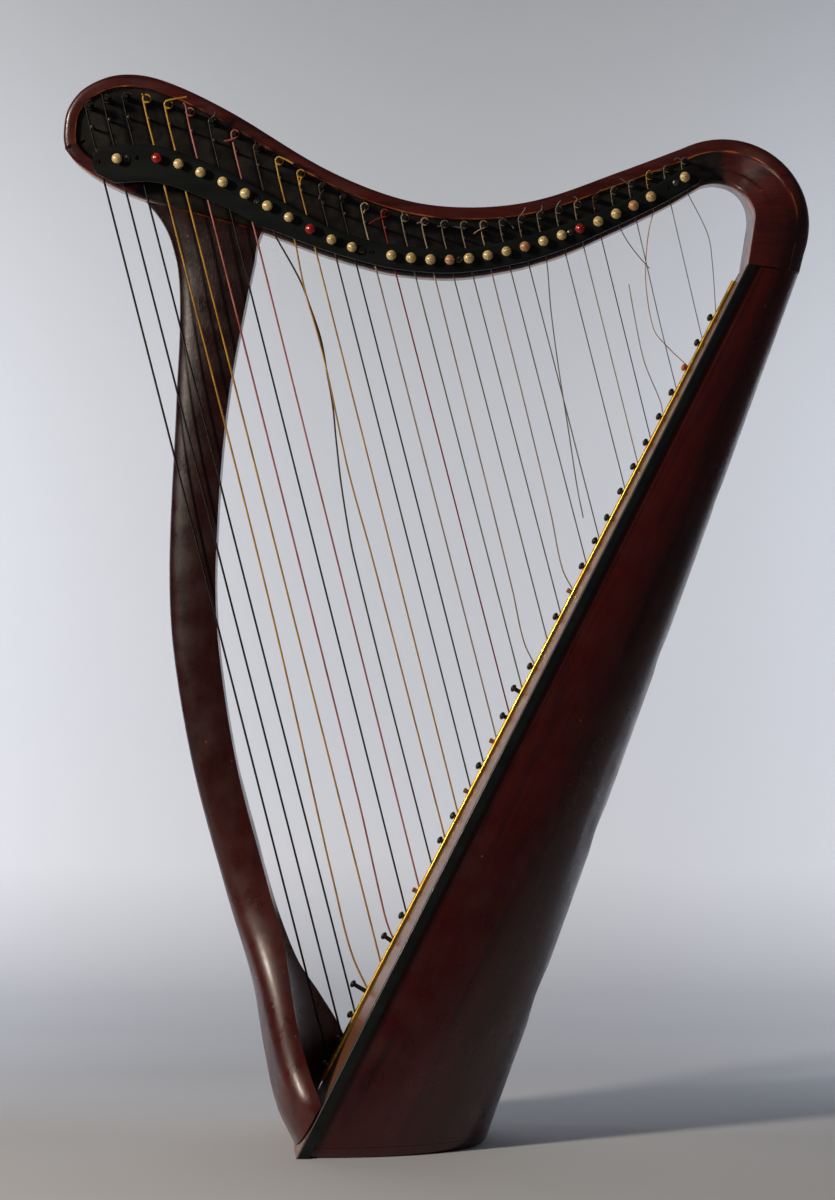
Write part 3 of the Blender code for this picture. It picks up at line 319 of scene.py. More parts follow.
# an sRGB hex colour as linear RGBA
def linearColour(text):
    value = np.array([int(text[i:i + 2], 16) for i in (1, 3, 5)]) / 255
    value = np.where(value <= 0.04045, value / 12.92, ((value + 0.055) / 1.055) ** 2.4)
    return (*value.tolist(), 1.0)


def newMaterial(name, **shaderInputs):
    material = bpy.data.materials.new(name)
    material.use_nodes = True
    tree = material.node_tree
    shader = tree.nodes["Principled BSDF"]
    for key, value in shaderInputs.items():
        shader.inputs[key.replace("_", " ")].default_value = value
    return material, tree, shader


def addPlace(tree):
    return addNode(tree, "ShaderNodeTexCoord").outputs["Object"]


def addStretch(tree, vector, **inputs):
    return addNode(tree, "ShaderNodeMapping", None, {"Vector": vector, **inputs}).outputs["Vector"]


def addNoise(tree, vector, scale, detail, **inputs):
    return addNode(tree, "ShaderNodeTexNoise", None,
                   {"Vector": vector, "Scale": scale, "Detail": detail, **inputs}).outputs["Fac"]


def addRange(tree, value, fromLow=0.0, fromHigh=1.0, toLow=0.0, toHigh=1.0):
    inputs = {"Value": value, "From Min": fromLow, "From Max": fromHigh, "To Min": toLow, "To Max": toHigh}
    return addNode(tree, "ShaderNodeMapRange", None, inputs).outputs["Result"]


def addMaths(tree, operation, *values):
    return addNode(tree, "ShaderNodeMath", {"operation": operation}, dict(enumerate(values))).outputs["Value"]


def addMix(tree, factor, first, second, blend="MIX"):
    return addNode(tree, "ShaderNodeMix", {"data_type": "RGBA", "blend_type": blend},
                   {"Factor": factor, 6: first, 7: second}).outputs[2]


# colour ramp from (place, hex) pairs
def addRamp(tree, value, pairs):
    ramp = addNode(tree, "ShaderNodeValToRGB", None, {"Fac": value})
    elements = ramp.color_ramp.elements
    while len(elements) < len(pairs):
        elements.new(0.5)
    for element, (place, colour) in zip(elements, pairs):
        element.position = place
        element.color = linearColour(colour)
    return ramp.outputs["Color"]


def addBump(tree, shader, height, strength, distance, coat=False):
    normal = addNode(tree, "ShaderNodeBump", None,
                     {"Height": height, "Strength": strength, "Distance": distance}).outputs["Normal"]
    tree.links.new(normal, shader.inputs["Normal"])
    if coat:
        tree.links.new(normal, shader.inputs["Coat Normal"])


def addAttribute(tree, name):
    return addNode(tree, "ShaderNodeAttribute", {"attribute_name": name}).outputs["Fac"]


# mahogany, sanded, stained dark red and brushed with several coats of lacquer: deep colour that
# glows where the grain is lit, short dark pores, and a gloss with faint brush ripples and dust.
# The fifth argument holds tones at heights of 0, 0.25, 0.5, 0.75 and 1 m, multiplied into the colour: painted
# light and shade, lighter or darker with height as the lamps fall.
def makeMahogany(name, grainTurn, dark, light, paintedLightByHeight, gloss=0.16, lineDepth=0.0):
    material, tree, shader = newMaterial(name, Roughness=0.34, IOR=1.5, Coat_Weight=0.30,
                                         Coat_Roughness=gloss, Coat_IOR=1.5)
    place = addPlace(tree)
    along = addStretch(tree, place, Rotation=grainTurn)
    bands = addStretch(tree, along, Scale=(60, 60, 4))
    grain = addNoise(tree, bands, 1.0, 6.0, Roughness=0.6, Distortion=0.6)
    colour = addRamp(tree, grain, ((0.30, dark), (0.52, light), (0.75, dark)))
    cloud = addNoise(tree, place, 7.0, 3.0)
    colour = addMix(tree, 1.0, colour, addRange(tree, cloud, 0.3, 0.7, 0.72, 1.12), "MULTIPLY")
    height = addNode(tree, "ShaderNodeSeparateXYZ", None, {"Vector": place}).outputs["Z"]
    # painted light and shade: the colour is multiplied by a tone that changes with height
    paintedLightTone = addRamp(tree, height, [(index / 4, value) for index, value in enumerate(paintedLightByHeight)])
    colour = addMix(tree, 1.0, colour, paintedLightTone, "MULTIPLY")
    if lineDepth:
        # fine dark line let in beside the black edge, at one depth behind the soundboard
        depth = addNode(tree, "ShaderNodeVectorMath", {"operation": "DOT_PRODUCT"},
                        {0: place, 1: (-boardNormal).tolist()}).outputs["Value"]
        level = float(boardEdge(0.0) @ -boardNormal) + lineDepth
        near = addMaths(tree, "COMPARE", depth, level, 0.0011)
        colour = addMix(tree, addMaths(tree, "MULTIPLY", near, 0.45), colour, linearColour("#120504"))
    # pores 0.4 mm wide and about 6 mm long
    pores = addNoise(tree, addStretch(tree, along, Scale=(2400, 2400, 160)), 1.0, 1.0)
    pore = addRange(tree, pores, 0.60, 0.72, 0.0, 0.55)
    colour = addMix(tree, pore, colour, linearColour("#1c0503"))
    # chips and dust, 1 mm specks far apart, paler than the stain
    cells = addNode(tree, "ShaderNodeTexVoronoi", {"feature": "F1"}, {"Vector": place, "Scale": 55.0})
    speck = addRange(tree, cells.outputs["Distance"], 0.035, 0.06, 0.55, 0.0)
    seldom = addMaths(tree, "GREATER_THAN", cells.outputs["Color"], 0.72)
    colour = addMix(tree, addMaths(tree, "MULTIPLY", speck, seldom), colour, linearColour("#a8674a"))
    tree.links.new(colour, shader.inputs["Base Color"])
    rough = addRange(tree, addNoise(tree, place, 38.0, 5.0), 0.35, 0.7, 0.24, 0.46)
    tree.links.new(rough, shader.inputs["Roughness"])
    ripple = addMaths(tree, "ADD", addNoise(tree, place, 260.0, 3.0), pore)
    addBump(tree, shader, ripple, 0.22, 0.0004, coat=True)
    return material, tree, shader, colour


# black lacquer brushed over wood or metal: nearly black with a green cast, fine dust and streaks
def makeEbonised(name, base="#060a07", lift="#0d1510", gloss=0.12):
    material, tree, shader = newMaterial(name, Roughness=0.42, IOR=1.45, Coat_Weight=0.15,
                                         Coat_Roughness=gloss)
    place = addPlace(tree)
    noise = addNoise(tree, addStretch(tree, place, Scale=(18, 60, 60)), 1.0, 6.0)
    tree.links.new(addRamp(tree, noise, ((0.35, base), (0.72, lift))), shader.inputs["Base Color"])
    tree.links.new(addRange(tree, noise, toLow=0.28, toHigh=0.52), shader.inputs["Roughness"])
    addBump(tree, shader, addNoise(tree, place, 900.0, 2.0), 0.15, 0.0002)
    return material


# a metal with its tarnish: clean and dull patches a few millimetres across, and fine scratches
def makeMetal(name, clean, dull, roughness, patch=180.0):
    material, tree, shader = newMaterial(name, Metallic=1.0, Roughness=roughness)
    place = addPlace(tree)
    noise = addNoise(tree, place, patch, 4.0)
    tree.links.new(addRamp(tree, noise, ((0.40, clean), (0.70, dull))), shader.inputs["Base Color"])
    tree.links.new(addRange(tree, noise, 0.35, 0.75, roughness, roughness + 0.22), shader.inputs["Roughness"])
    addBump(tree, shader, addNoise(tree, place, 1500.0, 2.0), 0.12, 0.0001)
    return material


# quarter-cut wood: grain lines 1.6 mm apart across the board, each with a darker summer line; the
# bare wood is the same without varnish
def makeStraightGrain(name, pale, line, varnished):
    material, tree, shader = newMaterial(name, Roughness=0.36 if varnished else 0.75, IOR=1.4,
                                         Coat_Weight=0.1 if varnished else 0.0, Coat_Roughness=0.25)
    place = addPlace(tree)
    side = addNode(tree, "ShaderNodeSeparateXYZ", None, {"Vector": place}).outputs["Y"]
    drift = addMaths(tree, "MULTIPLY_ADD", addNoise(tree, place, 9.0, 2.0), 0.004, side)
    ring = addMaths(tree, "SINE", addMaths(tree, "MULTIPLY", drift, tau / 0.0016))
    fibre = addNoise(tree, addStretch(tree, place, Scale=(30, 600, 30)), 1.0, 4.0)
    height = addMaths(tree, "MULTIPLY_ADD", ring, 0.22, fibre)
    tree.links.new(addRamp(tree, height, ((0.30, pale), (0.80, line))), shader.inputs["Base Color"])
    addBump(tree, shader, height, 0.25, 0.0003)
    return material


# gut and nylon strings: a little translucent, tinted along their length by handling
def makeStringFinish(name, light, dark, roughness=0.4):
    material, tree, shader = newMaterial(name, Roughness=roughness, IOR=1.53, Subsurface_Weight=0.1,
                                         Subsurface_Scale=0.0004)
    noise = addNoise(tree, addPlace(tree), 45.0, 4.0)
    tree.links.new(addRamp(tree, noise, ((0.35, light), (0.70, dark))), shader.inputs["Base Color"])
    return material


# wound bass string: wire of 0.35 mm wound close, drawn at 0.8 mm so that the turns can be seen;
# read along the string's own UV, u in metres
def makeWound(name, colours, metallic, roughness):
    material, tree, shader = newMaterial(name, Metallic=metallic, Roughness=roughness)
    uv = addNode(tree, "ShaderNodeTexCoord").outputs["UV"]
    along = addNode(tree, "ShaderNodeSeparateXYZ", None, {"Vector": uv}).outputs["X"]
    ridge = addMaths(tree, "SINE", addMaths(tree, "MULTIPLY", along, tau / 0.0008))
    # painted shade: each turn paler on its crest and darker down in the groove between turns
    ramp = addRamp(tree, addRange(tree, ridge, -1.0, 1.0), ((0.0, colours[0]), (0.8, colours[1])))
    tree.links.new(ramp, shader.inputs["Base Color"])
    addBump(tree, shader, ridge, 0.5, 0.0001)
    return material


# turned casein or bone knob, polished: warm cream, brown dirt where the attribute "stain" is high
def makeKnobFinish(name, cream, deep, stainColour):
    material, tree, shader = newMaterial(name, Roughness=0.28, IOR=1.52, Coat_Weight=0.3, Coat_Roughness=0.08,
                                         Subsurface_Weight=0.15, Subsurface_Scale=0.0015)
    noise = addNoise(tree, addPlace(tree), 420.0, 3.0)
    patchy = addMaths(tree, "MULTIPLY", addAttribute(tree, "stain"), noise)
    clean = addRamp(tree, noise, ((0.35, cream), (0.72, deep)))
    colour = addMix(tree, addRange(tree, patchy, 0.1, 0.55), clean, linearColour(stainColour))
    tree.links.new(colour, shader.inputs["Base Color"])
    addBump(tree, shader, noise, 0.1, 0.0002)
    return material


# the lacquered neck: mahogany where the attribute "panel" is low, black paint where it is high, its
# end brushed out in streaks along the neck, and pale orange along the arrises: partly bare wood, partly a
# painted highlight
def makeNeckFinish():
    # the last tuple is painted shade: the neck a little darker towards its top
    material, tree, shader, wood = makeMahogany("mahoganyNeck", (0, math.pi / 2, 0), "#30100b", "#65211a",
                                                ("#ffffff", "#ffffff", "#ffffff", "#f0f0f0", "#d0d0d0"))
    place = addPlace(tree)
    streaks = addNoise(tree, addStretch(tree, place, Scale=(14, 140, 260), Rotation=(0, 0.12, 0)), 1.0, 5.0)
    edge = addMaths(tree, "SUBTRACT", addAttribute(tree, "panel"), streaks)
    black = addRamp(tree, addNoise(tree, place, 90.0, 5.0), ((0.35, "#0d0b08"), (0.70, "#241e17")))
    colour = addMix(tree, addRange(tree, edge, -0.06, 0.14), wood, black)
    # pale orange on the worn arrises: partly bare wood, partly a painted highlight where light grazes the
    # edge
    bare = addMaths(tree, "MULTIPLY", addAttribute(tree, "wornAndLitEdge"), addNoise(tree, place, 55.0, 3.0))
    colour = addMix(tree, addRange(tree, bare, 0.38, 0.56), colour, linearColour("#b4622c"))
    tree.links.new(colour, shader.inputs["Base Color"])
    return material


finishes = {
    # the last tuple of each is painted light and shade by height: the box darker towards the floor, the
    # pillar lighter at its foot and darker above
    "box": makeMahogany("mahoganyBox", (0, -0.469, 0), "#3c0f0b", "#5e160f",
                        ("#b89898", "#c8b8b8", "#e4d8d8", "#ffffff", "#ffffff"), lineDepth=0.0150)[0],
    "pillar": makeMahogany("mahoganyPillar", (0, 0, 0), "#3a110b", "#5c1c13",
                           ("#f0e8e8", "#c8c4c4", "#8c9090", "#7c8480", "#606864"), gloss=0.22)[0],
    "neck": makeNeckFinish(),
    "ebonised": makeEbonised("ebonisedPlate"),
    "binding": makeEbonised("ebonisedBinding", "#050807", "#0c110e", 0.08),
    "peg": makeEbonised("ebonyPeg", "#0a0c0b", "#1a1d1b", 0.06),
    "brownPeg": makeStraightGrain("boxwoodPeg", "#b7794a", "#7d4a28", True),
    "orangePeg": makeStraightGrain("boxwoodPegOrange", "#c8742e", "#8d4a1c", True),
    "board": makeStraightGrain("spruceVarnished", "#8a5a3c", "#5a3422", True),
    "bare": makeStraightGrain("beechBare", "#c9ad84", "#9c7c55", False),
    "brass": makeMetal("brassPolished", "#f2c452", "#d19a34", 0.20, 60.0),
    "steel": makeMetal("steelTarnished", "#57524b", "#2b2723", 0.30),
    "screwSteel": makeMetal("steelScrew", "#77736c", "#4a4640", 0.34),
    "ivory": makeKnobFinish("boneKnob", "#f0dda0", "#cfa868", "#6b3a1c"),
    "brownIvory": makeKnobFinish("boneKnobStained", "#d9a77a", "#b5784c", "#5a2c18"),
    "red": makeKnobFinish("redKnob", "#b0281f", "#8e1b16", "#4a0d0b"),
    "darkString": makeWound("woundDark", ("#0b0b0a", "#2c2a27"), 0.6, 0.42),
    "goldString": makeStringFinish("gutGold", "#d7a845", "#a8752a", 0.32),
    "paleString": makeStringFinish("gutPale", "#b9a68a", "#8e7b60"),
    "greyString": makeStringFinish("nylonGrey", "#8c8375", "#615a50"),
    "pinkString": makeStringFinish("gutPink", "#c98076", "#9a4c45"),
    "redString": makeStringFinish("nylonRed", "#a32620", "#6f1713"),
    "brownString": makeStringFinish("gutBrown", "#4f3826", "#2c1f16"),
    "blackString": makeStringFinish("nylonBlack", "#1b1917", "#0d0c0b"),
}
print("finishes made:", len(finishes))


# applies a boolean with a cutter piece and throws the cutter away
def cutWith(piece, grid, operation="DIFFERENCE"):
    cutter = addSurface(piece.name + "_cutter", grid, "bare")
    step = piece.modifiers.new("cut", "BOOLEAN")
    step.operation = operation
    step.object = cutter
    step.solver = "EXACT"
    graph = bpy.context.evaluated_depsgraph_get()
    mesh = bpy.data.meshes.new_from_object(piece.evaluated_get(graph))
    piece.modifiers.clear()
    while len(mesh.materials) > 1:
        mesh.materials.pop()
    piece.data = mesh
    mesh.shade_smooth()
    mesh.set_sharp_from_angle(angle=math.radians(38))
    bpy.data.objects.remove(cutter, do_unlink=True)
    return piece


# half-round outline: depth |cos a|^(2/n), side |sin a|^(2/n), n the roundness
def boxArc(share, inset, count=72, front=0.0):
    share = np.asarray(share, float)
    edge, back = boardEdge(share), boxBack(share)
    way = unit(back - edge)
    start = edge + way * front
    depth = np.linalg.norm(back - start, axis=-1) - inset
    width = halfWidth(share) - inset
    power = 2 / soundbox["roundness"]
    angle = math.pi * (ease(np.linspace(0, 1, count)) * 0.3 + np.linspace(0, 1, count) * 0.7 - 0.5)
    out = np.abs(np.cos(angle)) ** power
    side = np.sign(angle) * np.abs(np.sin(angle)) ** power
    out[[0, -1]] = 0
    grid = start[:, None] + way[:, None] * (out[None] * depth[:, None])[..., None]
    grid[..., 1] += side[None] * width[:, None]
    return grid


def makeSoundbox():
    firstShare = (soundbox["baseHeight"] + gap) / seamHeight
    lastShare = 1 - gap / seamHeight
    share = np.linspace(firstShare, lastShare, 61)
    outer = boxArc(share, 0.0, front=underBoard)
    inner = boxArc(share, soundbox["wall"], front=underBoard)
    shell = addSurface("soundboxShell", np.concatenate([outer, inner[:, ::-1]], 1), "box",
                       replaces=["soundbox_shell"])
    radius = np.linspace(soundbox["holeFoot"], soundbox["holeTop"], len(soundbox["holeShares"]))
    for place, size in zip(soundbox["holeShares"], radius):
        edge, back = boardEdge(place), boxBack(place)
        cutWith(shell, turnedGrid(rod(size, -0.02, 0.02), back, back - edge, 48))
    # base board: the same D, its lower edge a quarter round
    angle = np.linspace(0, math.pi / 2, 9)
    height = np.concatenate([soundbox["baseRound"] * (1 - np.cos(angle)), [soundbox["baseHeight"]]])
    inset = np.concatenate([soundbox["baseRound"] * (1 - np.sin(angle)), [0.0]])
    rings = [boxArc([h / seamHeight], i, front=underBoard)[0] for h, i in zip(height, inset)]
    addSurface("baseBoard", np.array(rings), "box", replaces=["base_board"])
    # soundboard: crowned by a parabola, as thick as the board all over
    share = np.linspace(0, lastShare, 41)
    across = np.linspace(-1, 1, 17)
    way = unit(boxBack(share) - boardEdge(share)) * slant
    rise = crownAt(share)[:, None] * (1 - across ** 2)
    top = boardEdge(share)[:, None] - way[:, None] * rise[..., None]
    top[..., 1] += across * halfWidth(share)[:, None]
    bottom = top + way[:, None] * soundbox["board"]
    addSurface("soundboardTop", np.concatenate([top, bottom[:, ::-1]], 1), "board",
               replaces=["soundboard"])
    for name, side in (("binding_near", -1), ("binding_far", 1)):
        inner = halfWidth(share) + gap
        width = soundbox["bindingWidth"]
        corner = np.linspace(0, math.pi / 2, 9)
        across = np.concatenate([[0], width - 0.0016 * (1 - np.sin(corner)), [width, 0]])
        depth = np.concatenate([[-0.0004], -0.0004 + 0.0016 * (1 - np.cos(corner)), [0, 0]])
        depth = np.broadcast_to(depth, (len(share), len(depth))).copy()
        depth[:, -2:] = mix(soundbox["bindingFoot"], soundbox["bindingTop"], share)[:, None]
        grid = boardEdge(share)[:, None] + way[:, None] * depth[..., None]
        grid[..., 1] += side * (inner[:, None] + across[None])
        addSurface(name + "_strip", grid, "binding", replaces=[name])
    print("soundbox made")


makeSoundbox()


# neck and shoulder in one skin, because their joint is lacquered over. Stations run from the head to
# the soundbox; a station's ring goes up the front, over the outer edge, down the back and under.
# The rim is the outline set in by its width, the panel is sunk behind it.
shoulderShape = {"neckStations": 190, "bendStations": 70, "fill": 9, "coveStart": 98.0, "coveDelay": 0.45}


# a point, or a row of points, on the bend's outer or inner arc at an angle in degrees
def arcPoint(which, degrees):
    turn = np.radians(degrees)
    way = np.stack([np.cos(turn), np.sin(turn)], -1)
    return np.array(neck[which + "Centre"]) + way * neck[which + "Radius"]


def outlinePairs():
    count = shoulderShape["neckStations"]
    start = math.radians(neck["bendStart"])
    outer, inner = arcPoint("bend", neck["bendStart"]), arcPoint("throat", neck["bendStart"])
    before = outer + np.array([math.sin(start), -math.cos(start)]) * -0.010
    tip = np.array([-0.3045, 0.919])
    top = smoothPath(np.vstack([tip, neck["top"], before, outer]), count)
    knots = [tip, *neck["chin"], (-0.176, 0.857), *neck["edge"], inner]
    bottom = smoothPath(knots, count)
    # the bend: both arcs turn from the neck's end to level, then run to the soundbox
    turn = np.linspace(neck["bendStart"], -30.0, shoulderShape["bendStations"] + 1)[1:]
    edge, back = boardEdge(1.0)[[0, 2]], boxBack(1.0)[[0, 2]]
    lip = back + unit(back - edge) * neck["lip"]
    steps = turn[:, None]
    low = np.where(steps < -10, mix(arcPoint("throat", -10), edge, np.clip((-steps - 10) / 20, 0, 1)),
                   arcPoint("throat", turn))
    high = np.where(steps < -20, mix(arcPoint("bend", -20), lip, np.clip((-steps - 20) / 10, 0, 1)),
                    arcPoint("bend", turn))
    return np.vstack([top, high]), np.vstack([bottom, low]), turn


# inward normal of an outline whose inside is on the right (top) or left (bottom) as it runs
def inward(line, side):
    tangent = unit(np.gradient(line, axis=0))
    return np.stack([tangent[:, 1], -tangent[:, 0]], -1) * side


def makeNeckAndShoulder():
    top, bottom, turn = outlinePairs()
    count = len(top)
    flat = shoulderShape["neckStations"]
    topIn, bottomIn = inward(top, 1), inward(bottom, -1)
    topIn[0] = bottomIn[0] = unit(topIn[0] + bottomIn[0])
    x = mix(top[:, 0], bottom[:, 0], 0.5)
    # how far the panel is sunk, and how much of the rim stands along each edge
    sunk = np.ones(count)
    sunk[:flat] = 1 - ease((x[:flat] - 0.255) / 0.040)
    sunk[flat:] = 0
    rimTop = np.ones(count)
    rimLow = np.ones(count)
    rimLow[:flat] = 1 - ease((bottom[:flat, 0] + 0.246) / 0.012)
    rimLow = np.maximum(rimLow, 1 - sunk)
    face, back = neck["face"], neck["face"] + neck["thickness"]
    corner = neck["edgeRound"]
    panelLevel = mix(face, panelY, sunk)

    # one side of the ring, from the panel over the edge to the back: inset from the outline and y
    def sideProfile(rim):
        level = mix(panelLevel, face, rim)
        wall = np.array([0.0195, 0.0160, 0.0136, 0.0129, 0.0124, 0.0119, 0.0112, 0.0100, 0.0080])
        climb = np.array([0.0, 0.0, 0.0, 0.10, 0.50, 0.90, 1.0, 1.0, 1.0])
        curve = np.linspace(0, math.pi / 2, 9)
        inset = np.concatenate([wall, corner * (1 - np.sin(curve)), corner * (1 - np.cos(curve)) * 1.2,
                                [0.0195]])
        y = mix(panelLevel[:, None], level[:, None], climb[None])
        front = level[:, None] + (corner * 0.8 * (1 - np.cos(curve)))[None]
        behind = back - corner * (1 - np.sin(curve))
        y = np.concatenate([y, front, np.broadcast_to(behind, (count, 9)),
                            np.full((count, 1), back)], 1)
        painted = np.concatenate([1 - climb * 1.05, np.full(19, -0.05)])
        return np.broadcast_to(inset, y.shape), y, np.broadcast_to(painted, y.shape)

    # worn arrises with a painted highlight on them: the inner edge of the rim along the top, the front corner
    # along the bottom
    wornAndLitTop = np.zeros((count, 28))
    wornAndLitTop[:, 5:8] = (0.7, 1.0, 0.5)
    wornAndLitLow = np.zeros((count, 28))
    wornAndLitLow[:, 13:18] = (0.3, 0.8, 1.0, 1.0, 1.0)
    insetT, yT, paintT = sideProfile(rimTop)
    insetB, yB, paintB = sideProfile(rimLow)
    upper = top[:, None] + topIn[:, None] * insetT[..., None]
    lower = bottom[:, None] + bottomIn[:, None] * insetB[..., None]
    paintB = np.where(rimLow[:, None] < 0.5, np.where(insetB > 0.001, 0.9, -0.05), paintB)
    paintB[:, 18:] = -0.05
    w = (np.arange(shoulderShape["fill"]) + 1) / (shoulderShape["fill"] + 1)
    frontFill = mix(lower[:, :1], upper[:, :1], w[None, :, None])
    backFill = mix(upper[:, -1:], lower[:, -1:], w[None, :, None])
    ring = np.concatenate([frontFill, upper, backFill, lower[:, ::-1]], 1)
    y = np.concatenate([np.broadcast_to(panelLevel[:, None], (count, len(w))), yT,
                        np.full((count, len(w)), back), yB[:, ::-1]], 1)
    paint = np.concatenate([np.ones((count, len(w))), paintT, np.full((count, len(w)), -0.05),
                            paintB[:, ::-1]], 1)
    wornAndLitEdge = np.concatenate([np.zeros((count, len(w))), wornAndLitTop, np.zeros((count, len(w))), wornAndLitLow[:, ::-1]], 1)
    grid = np.stack([ring[..., 0], y, ring[..., 1]], -1)

    # past the neck the ring swells into the D of the box: outer points first, the throat last
    joint = grid[flat - 1]
    across = top[flat - 1] - bottom[flat - 1]
    reach = np.linalg.norm(across)
    p = ((joint[:, [0, 2]] - bottom[flat - 1]) @ across) / reach ** 2
    middle = mix(face, back, 0.5)
    q = (joint[:, 1] - middle) / (neck["thickness"] / 2)
    step = np.hypot(np.diff(np.append(p, p[0])) * reach, np.diff(np.append(q, q[0])) * 0.017)
    order = np.arange(len(p))
    nearCorner = int(np.argmax(np.where(order > len(p) * 0.85, -q - 3 * p, -9)))
    farCorner = int(np.argmax(np.where(order < len(p) * 0.85, q - 3 * p, -9)))
    rolled = np.roll(order, -nearCorner)
    lengths = np.concatenate([[0], np.cumsum(step[rolled])[:-1]])
    turnAt = np.empty(len(p))
    turnAt[rolled] = lengths
    arcLength = turnAt[farCorner]
    onArc = turnAt <= arcLength
    a = math.pi * (np.clip(turnAt / arcLength, 0, 1) - 0.5)
    power = 2 / soundbox["roundness"]
    flatShare = np.clip((turnAt - arcLength) / (lengths[-1] - arcLength), 0, 1)
    dP = np.where(onArc, np.abs(np.cos(a)) ** power, 0.0)
    dQ = np.where(onArc, np.sign(a) * np.abs(np.sin(a)) ** power, 1 - 2 * flatShare)
    progress = ((neck["bendStart"] - turn) / (neck["bendStart"] + 30))[:, None]
    spread = ease(progress)
    delay = shoulderShape["coveDelay"]
    own = ease((progress - delay * (1 - p[None])) / (1 - delay * (1 - p[None]) + 1e-6))
    own = mix(own, spread, ease(progress * 1.2 - 0.2))
    pNow = mix(p[None], dP[None], spread)
    half = mix(neck["thickness"] / 2, soundbox["halfTop"] + neck["lip"], own)
    qNow = mix(q[None], dQ[None], spread)
    centre = mix(middle, 0.0, spread)
    low, high = bottom[flat:, None], top[flat:, None]
    place = mix(low, high, pNow[..., None])
    yNow = centre + qNow * half
    grid[flat:] = np.stack([place[..., 0], yNow, place[..., 1]], -1)
    fade = 1 - ease((grid[flat:, :, 0] - 0.290) / 0.040)
    below = ease((0.82 - pNow) / 0.14) * ease((-0.3 - qNow) / 0.4)
    paint[flat:] = fade * below - 0.1
    addSurface("neckAndShoulder", grid, "neck", values={"panel": paint, "wornAndLitEdge": wornAndLitEdge}, sharp=50,
               replaces=["neck", "shoulder"])
    print("neck and shoulder made:", grid.shape)


makeNeckAndShoulder()


# pillar: rounded front, hollowed back between two edges, widening into the foot; heights in metres
pillar = {
    "faceY": -0.0045, "thickness": 0.031, "roundness": 0.8,
    "front": ((0.0, -0.0905), (0.035, -0.1075), (0.090, -0.1205), (0.147, -0.131), (0.230, -0.156),
              (0.342, -0.186), (0.454, -0.205), (0.537, -0.2085), (0.677, -0.2025), (0.788, -0.1990),
              (0.840, -0.2085), (0.872, -0.231)),
    "back": ((0.0, -0.050), (0.054, -0.066), (0.071, -0.073), (0.114, -0.087), (0.186, -0.101),
             (0.230, -0.1142), (0.342, -0.144), (0.454, -0.1615), (0.537, -0.1643),
             (0.677, -0.154), (0.788, -0.134), (0.842, -0.122)),
    "farBack": ((0.0, -0.036), (0.060, -0.043), (0.085, -0.049), (0.125, -0.070), (0.157, -0.089),
                (0.198, -0.1045), (0.230, -0.1142), (0.342, -0.144)),
    "hollow": ((0.0, -0.060), (0.030, -0.066), (0.050, -0.082), (0.070, -0.089), (0.100, -0.0955),
               (0.150, -0.106), (0.200, -0.1145), (0.230, -0.1145), (0.342, -0.144)),
    "nearSide": ((0.0, -0.113), (0.045, -0.113), (0.071, -0.100), (0.114, -0.066), (0.157, -0.038),
                 (0.200, -0.019), (0.250, -0.0070), (0.300, -0.0045), (0.400, -0.0045)),
    "farSide": ((0.0, 0.113), (0.045, 0.113), (0.085, 0.104), (0.125, 0.078), (0.157, 0.057),
                (0.200, 0.037), (0.250, 0.0285), (0.300, 0.0265), (0.400, 0.0265)),
}


